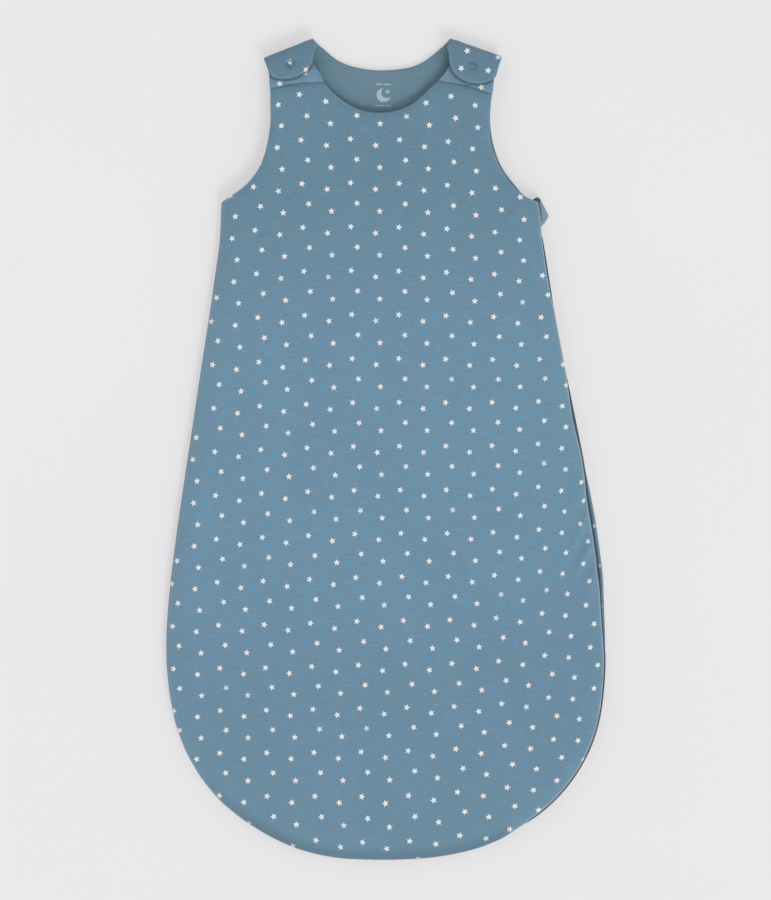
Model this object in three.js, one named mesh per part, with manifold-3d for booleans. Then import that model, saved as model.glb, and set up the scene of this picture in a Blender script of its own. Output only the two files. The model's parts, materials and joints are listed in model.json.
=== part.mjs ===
// A baby sleeping bag lying flat on its back: front and back panels of printed jersey over wadding and
// a lining, a round neck, two armholes, shoulder tabs that fold over from the back and close with one
// press stud each, and a zip from the armpit down one side and round the bottom corner.
// Millimetres. X runs across the bag (the zip is at +X), Y towards the neck, Z up through the thickness.
// The bag's outline is centred on the origin in X and Y, and it lies on z = 0.
import * as THREE from 'three';
import { mergeVertices } from 'three/addons/utils/BufferGeometryUtils.js';
import Module from 'manifold-3d';

const wasm = await Module();
wasm.setup();

// ---- driving dimensions ----
const GAP = 0.3; // clearance between pieces that touch
const LAYERS = { // lowest and highest Z of each layer
  backOuter: [0, 1.2],
  backWadding: [1.5, 6.3],
  backLining: [6.6, 7.8],
  frontLining: [14, 15.2],
  frontWadding: [15.5, 20.3],
  frontOuter: [20.6, 21.8],
  backStrap: [2.6, 5.1],
  frontStrap: [16.9, 19.4],
  shoulderTab: [22.8, 25.3],
};
const FOLD_X = 118.9; // line about which the unzipped side of the front turns back
const FOLD_HALF_GAP = 0.25;
const SEAM_WIDTH = 4; // turned edge of the side and bottom seam
const EDGE_INSET = 1.5; // wadding stops short of the neck and arm edges
const LINING_ZIP_INSET = 8.5; // lining stops short of the zip's outside edge
const WADDING_ZIP_INSET = 10;
const ZIP_END_X = 120; // the zip ends round the bottom corner
const ZIP_TOP_GAP = 3; // from the armpit corner to the top of the tapes

const TAPE = { inset: 5, thick: 0.6, back: [1.5, 8.5], front: [13.4, 20.3] };
const COIL = { thick: 2.4, back: [8.8, 10.8], front: [11.1, 13.1] };
const STOP = { length: 3, thick: 0.9, height: 1.8 };
const SLIDER = {
  length: 18, start: 16, low: 6.7, high: 15.2, // start: centre's distance below the straight stretch's top
  outside: 2.6, inside: 7.4, wall: 0.8, flange: 0.6, tapeSlot: 1.2,
  bridgeLength: 3, bridge: [11.1, 12.9],
};
const CROWN = { width: 1.2, thick: 0.6, reach: 1.8, leg: 0.8, outside: 0.5 };
const PULL = { length: 16, width: 5, thick: 0.9, bar: 1, window: 3, windowWidth: 2.4, inset: 1.85 };

const FOLD_RADIUS = 10.1; // middle of the strap where it turns over the shoulder
const STRAP_THICK = 2.5;
const SNAP = {
  along: 0.43, depth: 0.56, // place on the tab, as shares of its width and depth
  ringOuter: 4.9, ringInner: 3.3, ringThick: 0.8,
  socketRadius: 4.6, bore: 2.5, socket: [20.6, 22.5],
  base: [19.7, 20.3], head: 1.6, headTop: 21.9,
};
const GARAGE = { length: 30, edge: [[174.4, 247.8], [178.4, 255.1], [174.4, 263.4], [168.8, 273.5], [165.4, 276.4]] };
const GUARD = { near: 9, far: 27, thick: 0.8, from: 250, to: -110 };
const LABEL = { width: 25, length: 40, thick: 0.4, x: -196, y: 20 };

// ---- outline ----
const ARMPIT_LEFT = [-180.7, 269.3];
const ZIP_TOP = [166.2, 270.5];
const ZIP_BEND = [235.7, -137]; // the zip is straight from its top to here
const LEFT_SIDE = [
  ARMPIT_LEFT, [-188.3, 185], [-201.5, 97.4], [-214.6, 9.9], [-227.7, -77.7], [-238.4, -165.3],
  [-240.6, -240], [-225.5, -318.6], [-183.9, -384.3], [-119, -429.5], [-60, -447.6], [0, -450],
];
const RIGHT_CORNER = [[0, -450], [60, -446], [122, -428.8], [187.2, -384.3], [228.8, -318.6], [241, -235], ZIP_BEND];
const ARMHOLE_RIGHT = [[160.5, 273.6], [142.3, 288], [127, 307.7], [118.9, 328.5], [114.5, 350], [114.2, 372]];
const ARMHOLE_LEFT = [[-126.7, 378], [-126, 358], [-130.5, 330], [-138, 307.7], [-153.3, 288], [-173, 274.2]];
const FRONT_SEAM_RIGHT = [[116.5, 388.5], [58.3, 403.4]]; // armhole to neck
const FRONT_SEAM_LEFT = [[-67.9, 401], [-126.4, 394]]; // neck to armhole
const FRONT_NECK = [[50.8, 397.6], [37.4, 383.5], [20, 372], [-5, 367.1], [-29, 370.4], [-47.4, 380.8], [-60.9, 392]];
const BACK_SEAM_RIGHT = [[117.2, 398], [57, 436.4]];
const BACK_SEAM_LEFT = [[-64.5, 434.8], [-127.6, 400]];
const BACK_NECK = [[50.8, 431.1], [37, 421.4], [22.9, 417.1], [-10.6, 414.6], [-40.7, 419.9], [-56.4, 427.1]];

// Each shoulder: the fold line's armhole end and neck end, the tab's depth, and the front strap's
// corners at its seam, from the armhole side round to the neck side.
const SHOULDERS = {
  left: {
    arm: [-134, 427.4], neck: [-79.3, 449], depth: 32.4,
    frontFoot: { arm: [[-126.6, 394.6], [-127.6, 404]], neck: [[-77.5, 418], [-70.9, 406.4], [-68.2, 401.6]] },
    backFoot: { arm: [-127.8, 400.6], neck: [-65, 435.3] },
  },
  right: {
    arm: [127.1, 429], neck: [69.6, 449.2], depth: 38.9,
    frontFoot: { arm: [[116.8, 389.1], [118.3, 404]], neck: [[68.5, 418], [62.1, 410.9], [58.8, 403.9]] },
    backFoot: { arm: [117.6, 398.5], neck: [57.5, 436.8] },
  },
};
// Round end of a shoulder tab, as shares of its width and depth, from the armhole side to the neck side.
const TAB_END = [
  [0.012, 0.52], [0.05, 0.7], [0.16, 0.86], [0.3, 0.965], [0.45, 1], [0.6, 0.97], [0.72, 0.89], [0.81, 0.77],
  [0.89, 0.56],
];

// ---- materials ----
const material = (color, roughness, metalness = 0) => new THREE.MeshStandardMaterial({ color, roughness, metalness });
const jersey = material(0x6b8ba0, 0.9);
const strapJersey = material(0x62808f, 0.9);
const lining = material(0x678394, 0.9);
const wadding = material(0xe9e9e4, 0.95);
const tapeCloth = material(0x4b6676, 0.85);
const coilNylon = material(0x3f5866, 0.5);
const lacquer = material(0x5f7f94, 0.35, 0.5);
const steel = material(0xa9adb0, 0.3, 1);
const satin = material(0xf0efeb, 0.6);

// ---- geometry helpers ----
const vectors = (points) => points.map(([x, y]) => new THREE.Vector2(x, y));
const smooth = (points, steps) => new THREE.SplineCurve(vectors(points)).getPoints(steps);

// A flat piece: an outline given a thickness from low to high.
function plate(points, [low, high]) {
  const geometry = new THREE.ExtrudeGeometry(new THREE.Shape(points), { depth: high - low, bevelEnabled: false });
  return geometry.translate(0, 0, low);
}

function boxBetween(low, high) {
  const size = high.map((value, i) => value - low[i]);
  const geometry = new THREE.BoxGeometry(...size);
  return geometry.translate(...low.map((value, i) => value + size[i] / 2));
}

function solid(geometry) {
  const bare = geometry.clone();
  bare.deleteAttribute('normal');
  bare.deleteAttribute('uv');
  const merged = mergeVertices(bare, 1e-4);
  const mesh = new wasm.Mesh({
    numProp: 3,
    vertProperties: new Float32Array(merged.attributes.position.array),
    triVerts: new Uint32Array(merged.index.array),
  });
  return new wasm.Manifold(mesh);
}

function geometryOf(manifold) {
  const mesh = manifold.getMesh();
  const geometry = new THREE.BufferGeometry();
  geometry.setAttribute('position', new THREE.BufferAttribute(mesh.vertProperties, 3));
  geometry.setIndex(new THREE.BufferAttribute(mesh.triVerts, 1));
  geometry.computeVertexNormals();
  return geometry;
}

const cut = (geometry, ...tools) => geometryOf(tools.reduce((rest, tool) => rest.subtract(solid(tool)), solid(geometry)));
const join = (...geometries) => geometryOf(geometries.map(solid).reduce((all, next) => all.add(next)));
const keepInside = (geometry, tool) => geometryOf(solid(geometry).intersect(solid(tool)));

// Moves each point of a path to the right of its direction of travel, by distance.
function offsetPath(points, distance, closed = false) {
  const last = points.length - 1;
  return points.map((point, i) => {
    const before = points[i > 0 ? i - 1 : closed ? last : 0];
    const after = points[i < last ? i + 1 : closed ? 0 : last];
    const into = point.clone().sub(before);
    const out = after.clone().sub(point);
    if (into.length() === 0) into.copy(out);
    if (out.length() === 0) out.copy(into);
    const normalIn = new THREE.Vector2(into.y, -into.x).normalize();
    const normalOut = new THREE.Vector2(out.y, -out.x).normalize();
    const normal = normalIn.clone().add(normalOut).normalize();
    const miter = 1 / Math.max(normal.dot(normalIn), 0.5);
    return point.clone().addScaledVector(normal, distance * miter);
  });
}

// The outlines run anticlockwise, so an inset is an offset to the left.
const inset = (points, distance) => offsetPath(points, -distance, true);

// A strip along a path, between two insets from it.
function strip(path, near, far, layer) {
  return plate([...offsetPath(path, -near), ...offsetPath(path, -far).reverse()], layer);
}

// ---- the outline's stretches ----
const leftSide = smooth(LEFT_SIDE, 26);
const rightCorner = smooth(RIGHT_CORNER, 20);
const bodySides = [...leftSide, ...rightCorner.slice(1), new THREE.Vector2(...ZIP_TOP)];
const armholeRight = smooth([...ARMHOLE_RIGHT, FRONT_SEAM_RIGHT[0]], 12);
const armholeLeft = smooth([FRONT_SEAM_LEFT[1], ...ARMHOLE_LEFT], 12);
const frontOutline = [
  ...bodySides,
  ...armholeRight,
  new THREE.Vector2(...FRONT_SEAM_RIGHT[1]),
  ...smooth(FRONT_NECK, 14),
  new THREE.Vector2(...FRONT_SEAM_LEFT[0]),
  ...armholeLeft,
];
const backOutline = [
  ...bodySides,
  ...armholeRight,
  ...vectors(BACK_SEAM_RIGHT),
  ...smooth(BACK_NECK, 12),
  ...vectors(BACK_SEAM_LEFT),
  ...armholeLeft,
];
const zipStart = rightCorner.findIndex((point) => point.x > ZIP_END_X);
const zipPath = [...rightCorner.slice(zipStart), new THREE.Vector2(...ZIP_TOP)];
const seamPath = [...leftSide, ...rightCorner.slice(1, zipStart)];

// ---- panels ----
const everyZ = [-5, 35];
const zipMargin = (distance) => strip([rightCorner[zipStart - 1], ...zipPath, new THREE.Vector2(162, 296)], -9, distance, everyZ);
const seamMargin = strip([new THREE.Vector2(-178, 290), ...seamPath, rightCorner[zipStart]], -9, SEAM_WIDTH + GAP, everyZ);
const mainSide = boxBetween([-300, -500, -5], [FOLD_X - FOLD_HALF_GAP, 500, 35]);
const flapSide = boxBetween([FOLD_X + FOLD_HALF_GAP, -500, -5], [300, 500, 35]);

const frontOuter = plate(frontOutline, LAYERS.frontOuter);
const frontLining = cut(plate(inset(frontOutline, GAP), LAYERS.frontLining), zipMargin(LINING_ZIP_INSET), seamMargin);
const frontWadding = cut(
  plate(inset(frontOutline, EDGE_INSET), LAYERS.frontWadding), zipMargin(WADDING_ZIP_INSET), seamMargin,
);
const backOuter = plate(backOutline, LAYERS.backOuter);
const backLining = cut(plate(inset(backOutline, GAP), LAYERS.backLining), zipMargin(LINING_ZIP_INSET), seamMargin);
const backWadding = cut(
  plate(inset(backOutline, EDGE_INSET), LAYERS.backWadding), zipMargin(WADDING_ZIP_INSET), seamMargin,
);
const sideSeam = strip(seamPath, 0, SEAM_WIDTH, [LAYERS.backOuter[1] + GAP, LAYERS.frontOuter[0] - GAP]);

// ---- zip ----
const straightTop = new THREE.Vector2(...ZIP_TOP);
const along = new THREE.Vector2(...ZIP_BEND).sub(straightTop).normalize(); // down the zip
const zipPoint = (distance, insetBy) => straightTop.clone()
  .addScaledVector(along, distance)
  .addScaledVector(new THREE.Vector2(along.y, -along.x), insetBy);
// The tapes start a little below the armpit corner; the front coil starts below the slider's bridge.
const shortened = (distance) => [...zipPath.slice(0, -1), zipPoint(distance, 0)];
const bridgeLow = SLIDER.start - SLIDER.length / 2 + SLIDER.bridgeLength;
const around = (middle, thick) => [middle - thick / 2, middle + thick / 2];
const tape = (layer) => strip(shortened(ZIP_TOP_GAP), ...around(TAPE.inset, TAPE.thick), layer);
const coil = (layer, start) => strip(shortened(start), ...around(TAPE.inset, COIL.thick), layer);

// Places a piece drawn along the straight stretch: x down the zip, y outwards from its edge, z up.
function alongZip(geometry, distance) {
  const place = zipPoint(distance, 0);
  const matrix = new THREE.Matrix4().makeBasis(
    new THREE.Vector3(along.x, along.y, 0), new THREE.Vector3(-along.y, along.x, 0), new THREE.Vector3(0, 0, 1),
  );
  return geometry.applyMatrix4(matrix.setPosition(place.x, place.y, 0));
}

function sliderBody() {
  const half = SLIDER.length / 2;
  const { low, high, outside, inside, wall, flange, tapeSlot } = SLIDER;
  const block = boxBetween([-half, -inside, low], [half, -outside, high]);
  const channel = boxBetween([-half - 1, -inside + wall, low + flange], [half + 1, -outside - wall, high - flange]);
  const slotSides = around(-TAPE.inset, tapeSlot);
  const slot = boxBetween([-half - 1, slotSides[0], low - 1], [half + 1, slotSides[1], high + 1]);
  const bridge = boxBetween([-half, -inside + 0.1, SLIDER.bridge[0]], [-half + SLIDER.bridgeLength, -outside - 0.1, SLIDER.bridge[1]]);
  return { shell: cut(block, channel, slot), bridge };
}

const middleZ = (SLIDER.low + SLIDER.high) / 2;
function crownLoop() {
  const [low, high] = around(middleZ, CROWN.width);
  const top = -CROWN.outside;
  const bar = boxBetween([-CROWN.reach, top - CROWN.thick, low], [CROWN.reach, top, high]);
  const leg = (x) => boxBetween([x, -SLIDER.outside - 0.1, low], [x + CROWN.leg, top - CROWN.thick + 0.1, high]);
  return [bar, leg(-CROWN.reach), leg(CROWN.reach - CROWN.leg)];
}

function pullTab() {
  const [low, high] = around(middleZ, PULL.width);
  const [near, far] = around(-PULL.inset, PULL.thick);
  const start = -PULL.bar / 2;
  const body = boxBetween([start, near, low], [start + PULL.length, far, high]);
  const [windowLow, windowHigh] = around(middleZ, PULL.windowWidth);
  const window = boxBetween([start + PULL.bar, near - 1, windowLow], [start + PULL.bar + PULL.window, far + 1, windowHigh]);
  return cut(body, window);
}

const { shell, bridge } = sliderBody();
const slider = alongZip(join(shell, bridge, ...crownLoop()), SLIDER.start);
const pull = alongZip(pullTab(), SLIDER.start);

const stopBeside = (base, low) => {
  const outer = -TAPE.inset + TAPE.thick / 2 + GAP;
  return alongZip(boxBetween([0, outer, low], [STOP.length, outer + STOP.thick, low + STOP.height]), base);
};
const stopFront = stopBeside(ZIP_TOP_GAP + 0.5, TAPE.front[0] + GAP);
const stopBack = stopBeside(ZIP_TOP_GAP + 0.5, SLIDER.low);
const zipFoot = offsetPath(zipPath, -TAPE.inset)[0];
const stopFoot = boxBetween(
  [zipFoot.x - STOP.length - GAP, zipFoot.y - COIL.thick / 2, COIL.back[0]],
  [zipFoot.x - GAP - 0.8, zipFoot.y + COIL.thick / 2, COIL.back[1]],
);

// A folded tab of fabric sewn outside the back tape, standing out past the armpit.
const garageInset = TAPE.inset - TAPE.thick / 2 - GAP;
const garage = plate(
  [zipPoint(GARAGE.length, garageInset), ...vectors(GARAGE.edge), zipPoint(ZIP_TOP_GAP, garageInset)],
  [LAYERS.backOuter[1] + GAP, SLIDER.low - GAP],
);
const guardPath = [zipPoint(GUARD.from - 230, 0), zipPoint(GUARD.from - GUARD.to, 0)];
const guard = plate(
  [
    ...offsetPath(guardPath, GUARD.near),
    ...offsetPath(guardPath, GUARD.far).reverse(),
  ],
  [LAYERS.backLining[1] + GAP, LAYERS.backLining[1] + GAP + GUARD.thick],
);
const labelLow = LAYERS.backLining[1] + GAP;
const label = boxBetween(
  [LABEL.x, LABEL.y, labelLow], [LABEL.x + LABEL.width, LABEL.y + LABEL.length, labelLow + LABEL.thick],
);

// ---- shoulders ----
// Places on a shoulder: u along the fold line from the armhole end, v inwards from the fold line.
function shoulderFrame({ arm, neck }) {
  const origin = new THREE.Vector2(...arm);
  const towardsNeck = new THREE.Vector2(...neck).sub(origin);
  const width = towardsNeck.length();
  towardsNeck.normalize();
  const outwards = new THREE.Vector2(-towardsNeck.y, towardsNeck.x);
  if (outwards.y < 0) outwards.negate();
  const place = (u, v) => origin.clone().addScaledVector(towardsNeck, u).addScaledVector(outwards, -v);
  return { width, outwards, place };
}

const foldDepth = FOLD_RADIUS + STRAP_THICK / 2; // the fold line is the bend's outermost line
const foldMiddleZ = (LAYERS.backStrap[0] + LAYERS.shoulderTab[1]) / 2;
const anticlockwise = (points) => (THREE.ShapeUtils.area(points) < 0 ? points.reverse() : points);

function shoulderTab(shoulder) {
  const { width, place } = shoulderFrame(shoulder);
  const start = foldDepth + GAP;
  const end = TAB_END.map(([u, v]) => [u * width, v * shoulder.depth]);
  const round = smooth(end, 16).map((point) => place(point.x, point.y));
  return plate(anticlockwise([place(0, start), ...round, place(width * 0.975, start)]), LAYERS.shoulderTab);
}

// Half a tube wall round the shoulder, from the back strap up to the tab.
function shoulderFold(shoulder) {
  const { width, outwards, place } = shoulderFrame(shoulder);
  const [inner, outer] = around(FOLD_RADIUS, STRAP_THICK);
  const section = new THREE.Shape();
  section.absarc(0, 0, outer, -Math.PI / 2, Math.PI / 2, false);
  section.absarc(0, 0, inner, Math.PI / 2, -Math.PI / 2, true);
  const geometry = new THREE.ExtrudeGeometry(section, { depth: width, bevelEnabled: false, curveSegments: 14 });
  const across = new THREE.Vector3(outwards.x, outwards.y, 0);
  const up = new THREE.Vector3(0, 0, 1);
  const length = across.clone().cross(up);
  const runsToNeck = length.dot(new THREE.Vector3(...place(1, 0).sub(place(0, 0)).toArray(), 0)) > 0;
  const start = runsToNeck ? place(0, foldDepth) : place(width, foldDepth);
  return geometry.applyMatrix4(
    new THREE.Matrix4().makeBasis(across, up, length).setPosition(start.x, start.y, foldMiddleZ),
  );
}

function frontStrap(shoulder) {
  const { place } = shoulderFrame(shoulder);
  const { arm, neck } = shoulder.frontFoot;
  const end = smooth([[3.5, 20], [6, 14.5], [12, 12.6], [25, 12.2], [38, 12.6], [45, 14.5], [48, 20]], 14)
    .map((point) => place(point.x, point.y));
  return plate(anticlockwise([...vectors(arm), ...end, ...vectors(neck)]), LAYERS.frontStrap);
}

function backStrap(shoulder) {
  const { width, place } = shoulderFrame(shoulder);
  const end = foldDepth + GAP;
  const { arm, neck } = shoulder.backFoot;
  const points = [new THREE.Vector2(...arm), place(0, end), place(width, end), new THREE.Vector2(...neck)];
  return plate(anticlockwise(points), LAYERS.backStrap);
}

function ring(outer, inner, [low, high], segments = 24) {
  const points = [[inner, low], [outer, low], [outer, high], [inner, high], [inner, low]];
  return new THREE.LatheGeometry(vectors(points), segments).rotateX(Math.PI / 2).scale(1, 1, 1);
}

function disc(radius, low, top, headRadius, headTop) {
  const points = [[0, low], [radius, low], [radius, top], [headRadius, top], [headRadius, headTop], [0, headTop]];
  return new THREE.LatheGeometry(vectors(points), 24).rotateX(Math.PI / 2);
}

function snapPieces(shoulder) {
  const { width, place } = shoulderFrame(shoulder);
  const centre = place(SNAP.along * width, SNAP.depth * shoulder.depth);
  const at = (geometry) => geometry.translate(centre.x, centre.y, 0);
  const tabTop = LAYERS.shoulderTab[1] + GAP;
  const strapUnder = LAYERS.frontStrap[0] - GAP;
  return {
    ring: at(ring(SNAP.ringOuter, SNAP.ringInner, [tabTop, tabTop + SNAP.ringThick])),
    socket: at(ring(SNAP.socketRadius, SNAP.bore, SNAP.socket)),
    stud: at(disc(SNAP.socketRadius, ...SNAP.base, SNAP.head, SNAP.headTop)),
    studRing: at(ring(SNAP.ringOuter, SNAP.ringInner, [strapUnder - SNAP.ringThick, strapUnder])),
  };
}

// ---- assembly ----
const sleepingBag = new THREE.Group();
sleepingBag.name = 'baby_sleeping_bag';

function add(name, geometry, look) {
  const mesh = new THREE.Mesh(geometry, look);
  mesh.name = name;
  sleepingBag.add(mesh);
}

add('front_outer', keepInside(frontOuter, mainSide), jersey);
add('front_wadding', keepInside(frontWadding, mainSide), wadding);
add('front_lining', keepInside(frontLining, mainSide), lining);
add('flap_outer', keepInside(frontOuter, flapSide), jersey);
add('flap_wadding', keepInside(frontWadding, flapSide), wadding);
add('flap_lining', keepInside(frontLining, flapSide), lining);
add('back_outer', backOuter, jersey);
add('back_wadding', backWadding, wadding);
add('back_lining', backLining, lining);
add('side_seam', sideSeam, jersey);

add('zip_tape_front', tape(TAPE.front), tapeCloth);
add('zip_tape_back', tape(TAPE.back), tapeCloth);
add('zip_coil_front', coil(COIL.front, bridgeLow + GAP), coilNylon);
add('zip_coil_back', coil(COIL.back, ZIP_TOP_GAP), coilNylon);
add('zip_slider', slider, steel);
add('zip_pull', pull, steel);
add('zip_top_stop_front', stopFront, steel);
add('zip_top_stop_back', stopBack, steel);
add('zip_bottom_stop', stopFoot, steel);
add('zip_garage', garage, strapJersey);
add('zip_guard', guard, lining);
add('care_label', label, satin);

for (const [side, shoulder] of Object.entries(SHOULDERS)) {
  const snap = snapPieces(shoulder);
  add(`front_strap_${side}`, frontStrap(shoulder), strapJersey);
  add(`back_strap_${side}`, backStrap(shoulder), strapJersey);
  add(`shoulder_fold_${side}`, shoulderFold(shoulder), strapJersey);
  add(`shoulder_tab_${side}`, shoulderTab(shoulder), strapJersey);
  add(`snap_ring_${side}`, snap.ring, lacquer);
  add(`snap_socket_${side}`, snap.socket, steel);
  add(`snap_stud_${side}`, snap.stud, steel);
  add(`snap_stud_ring_${side}`, snap.studRing, steel);
}

export default sleepingBag;
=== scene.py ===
"""A baby sleeping bag of star-printed jersey, lying flat on its back and seen from straight above."""

import json
import math

import bmesh
import bpy
import numpy as np
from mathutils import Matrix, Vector, noise
from mathutils.geometry import delaunay_2d_cdt


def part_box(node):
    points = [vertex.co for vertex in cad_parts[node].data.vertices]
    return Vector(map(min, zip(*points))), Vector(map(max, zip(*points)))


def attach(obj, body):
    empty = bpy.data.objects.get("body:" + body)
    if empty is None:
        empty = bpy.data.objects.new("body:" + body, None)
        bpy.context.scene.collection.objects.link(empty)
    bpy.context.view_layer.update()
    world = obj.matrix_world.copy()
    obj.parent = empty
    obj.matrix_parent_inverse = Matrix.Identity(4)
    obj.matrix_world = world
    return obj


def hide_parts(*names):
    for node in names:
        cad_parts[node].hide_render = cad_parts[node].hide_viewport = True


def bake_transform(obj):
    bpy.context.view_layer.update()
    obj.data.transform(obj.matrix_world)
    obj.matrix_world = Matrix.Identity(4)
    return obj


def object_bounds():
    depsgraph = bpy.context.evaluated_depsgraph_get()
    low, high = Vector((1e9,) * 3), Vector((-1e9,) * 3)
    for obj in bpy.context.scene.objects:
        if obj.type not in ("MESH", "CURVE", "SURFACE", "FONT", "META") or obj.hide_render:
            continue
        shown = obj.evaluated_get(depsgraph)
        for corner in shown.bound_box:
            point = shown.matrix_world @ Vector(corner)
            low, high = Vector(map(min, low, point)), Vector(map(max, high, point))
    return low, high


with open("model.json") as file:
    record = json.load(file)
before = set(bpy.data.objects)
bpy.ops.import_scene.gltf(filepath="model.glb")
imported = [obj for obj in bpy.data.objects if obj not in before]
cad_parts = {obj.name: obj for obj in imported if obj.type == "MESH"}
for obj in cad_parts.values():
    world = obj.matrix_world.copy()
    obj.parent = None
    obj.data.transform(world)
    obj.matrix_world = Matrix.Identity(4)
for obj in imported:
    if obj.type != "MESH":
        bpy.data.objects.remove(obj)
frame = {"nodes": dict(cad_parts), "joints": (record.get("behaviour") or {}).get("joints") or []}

MM = 0.001
CAD_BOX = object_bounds()

# ---------------------------------------------------------------- places, from the frame
MIDDLE_X, MIDDLE_Y = ((CAD_BOX[0][k] + CAD_BOX[1][k]) / 2 for k in (0, 1))
JOINTS = {joint["name"]: joint for joint in frame["joints"]}
FOLD_X = JOINTS["flap_open"]["pos_m"][0]
FOLD_START, FOLD_END = -1 * MM, 31 * MM  # the opened front turns over this width beside the fold line

SEAM_Z = 10.3 * MM  # where front and back meet along the side and bottom
EDGE_ROLL = 24 * MM  # how far in from the side seam the front takes to reach its full height
BACK_ROLL = 18 * MM  # the same for the back
OPEN_ROLL = 11 * MM  # the same at the neck and the armholes
YOKE_ROLL = 8 * MM  # and at the yoke seams
FRONT_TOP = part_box("front_outer")[1].z
FRONT_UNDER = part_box("front_lining")[0].z
BACK_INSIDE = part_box("back_lining")[1].z


# ---------------------------------------------------------------- small tools
def smoothstep(value, low, high):
    """From 0 at low to 1 at high, eased at both ends."""
    t = np.clip((value - low) / (high - low), 0, 1)
    return t * t * (3 - 2 * t)


def bell(value, width):
    """1 where the value is nothing, falling away on both sides over about that width."""
    return np.exp(-((value / width) ** 2))


def cap_outline(node):
    """The outline of a flat CAD node's upper face, anticlockwise, as points (x, y)."""
    mesh = frame["nodes"][node].data
    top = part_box(node)[1].z
    edges = {}
    for polygon in mesh.polygons:
        points = [mesh.vertices[i].co for i in polygon.vertices]
        if all(abs(p.z - top) < 1e-5 for p in points):
            keys = [(round(p.x, 6), round(p.y, 6)) for p in points]
            for a, b in zip(keys, keys[1:] + keys[:1]):
                if (b, a) in edges:
                    del edges[(b, a)]
                else:
                    edges[(a, b)] = True
    following = dict(edges.keys())
    start = next(iter(following))
    loop = [start]
    while following[loop[-1]] != start:
        loop.append(following[loop[-1]])
    return np.array(loop)


def lengths_along(path):
    """The length along a path from its start to each of its points."""
    steps = np.hypot(*np.diff(path, axis=0).T)
    return np.concatenate([[0], np.cumsum(steps)])


def resample(path, step):
    """Points a step apart along an open path, with both its ends kept."""
    reach = lengths_along(path)
    count = max(2, int(round(reach[-1] / step)) + 1)
    wanted = np.linspace(0, reach[-1], count)
    return np.stack([np.interp(wanted, reach, path[:, k]) for k in (0, 1)], 1)


def smooth_path(path, rounds):
    """An open path, rounder after each round, with both its ends kept."""
    path = path.copy()
    for _ in range(rounds):
        path[1:-1] = (path[:-2] + 2 * path[1:-1] + path[2:]) / 4
    return path


def left_normals(path, closed=False):
    """Unit normals to the left of each point of a path: inwards on an anticlockwise outline."""
    if closed:
        tangent = np.roll(path, -1, 0) - np.roll(path, 1, 0)
    else:
        tangent = np.gradient(path, axis=0)
    tangent /= np.hypot(*tangent.T)[:, None]
    return np.stack([-tangent[:, 1], tangent[:, 0]], 1)


def shifted(path, distance):
    """An open path moved to its left, by one distance or by one for each of its points."""
    return path + left_normals(path) * np.reshape(distance, (-1, 1))


def nearest_on(points, path):
    """Each point's distance to a path, and the length along the path of the nearest place on it."""
    start, step = path[:-1], np.diff(path, axis=0)
    reach = lengths_along(path)
    best = np.full(len(points), 1e9)
    along = np.zeros(len(points))
    for i in range(len(start)):
        size = max(step[i] @ step[i], 1e-18)
        t = np.clip((points - start[i]) @ step[i] / size, 0, 1)
        gap = np.hypot(*(points - start[i] - t[:, None] * step[i]).T)
        closer = gap < best
        best[closer] = gap[closer]
        along[closer] = reach[i] + t[closer] * math.sqrt(size)
    return best, along


def inside(points, loop):
    """Which points lie inside a closed outline."""
    x, y = points.T
    result = np.zeros(len(points), bool)
    ax, ay = loop.T
    bx, by = np.roll(loop, -1, 0).T
    for i in range(len(loop)):
        if ay[i] != by[i]:
            crosses = (ay[i] > y) != (by[i] > y)
            result ^= crosses & (x < (bx[i] - ax[i]) * (y - ay[i]) / (by[i] - ay[i]) + ax[i])
    return result


def ripple(points, size, seed):
    """Smooth noise from -1 to 1 at each (x, y), with bumps of that size."""
    return np.array([noise.noise((p[0] / size, p[1] / size, seed)) for p in points])


def new_object(name, vertices, faces, uvs=None, smooth=True):
    """A mesh piece in the scene, with cloth coordinates in metres where they're given."""
    mesh = bpy.data.meshes.new(name)
    mesh.from_pydata([tuple(v) for v in vertices], [], faces)
    mesh.validate()
    if smooth:
        mesh.shade_smooth()
    if uvs is not None:
        layer = mesh.uv_layers.new(name="cloth")
        index = np.zeros(len(mesh.loops), np.int32)
        mesh.loops.foreach_get("vertex_index", index)
        layer.data.foreach_set("uv", np.asarray(uvs, np.float32)[index].ravel())
    piece = bpy.data.objects.new(name, mesh)
    bpy.context.scene.collection.objects.link(piece)
    return piece


def finish_piece(piece, look, body=None, stands_for=()):
    """Give the piece its look, attach it to its body if one is given, and hide the CAD nodes that it stands
    for.
    """
    piece.data.materials.append(look)
    if body:
        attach(piece, body)
    if stands_for:
        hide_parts(*stands_for)


def add_attribute(piece, name, values):
    attribute = piece.data.attributes.new(name, "FLOAT", "POINT")
    attribute.data.foreach_set("value", np.asarray(values, np.float32))


def fix_normals(piece, weld=0.0):
    """Turn the faces outwards, after welding points that lie closer together than that."""
    mesh = bmesh.new()
    mesh.from_mesh(piece.data)
    if weld:
        bmesh.ops.remove_doubles(mesh, verts=mesh.verts, dist=weld)
    bmesh.ops.recalc_face_normals(mesh, faces=mesh.faces)
    mesh.to_mesh(piece.data)
    mesh.free()


def thicken(piece, thickness, offset=-1):
    """Thickness for a sheet: below its faces, or on both sides of them with an offset of 0."""
    solidify = piece.modifiers.new("cloth thickness", "SOLIDIFY")
    solidify.thickness = thickness
    solidify.offset = offset
    return piece


# ---------------------------------------------------------------- camera, light and floor
CAMERA_LENS = 240.0  # millimetres, on a 36 mm sensor
SENSOR = 36.0
VIEW_HEIGHT = 0.9854  # metres of floor from the picture's top to its bottom
CAMERA_SHIFT = (-0.5 * MM, -0.8 * MM)  # from over the bag's middle
WORLD_LIGHT = 0.72
FLOOR_HALF = 6.0
FLOOR_DROP = 0.6 * MM  # keeps the floor just clear of the cloth


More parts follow.
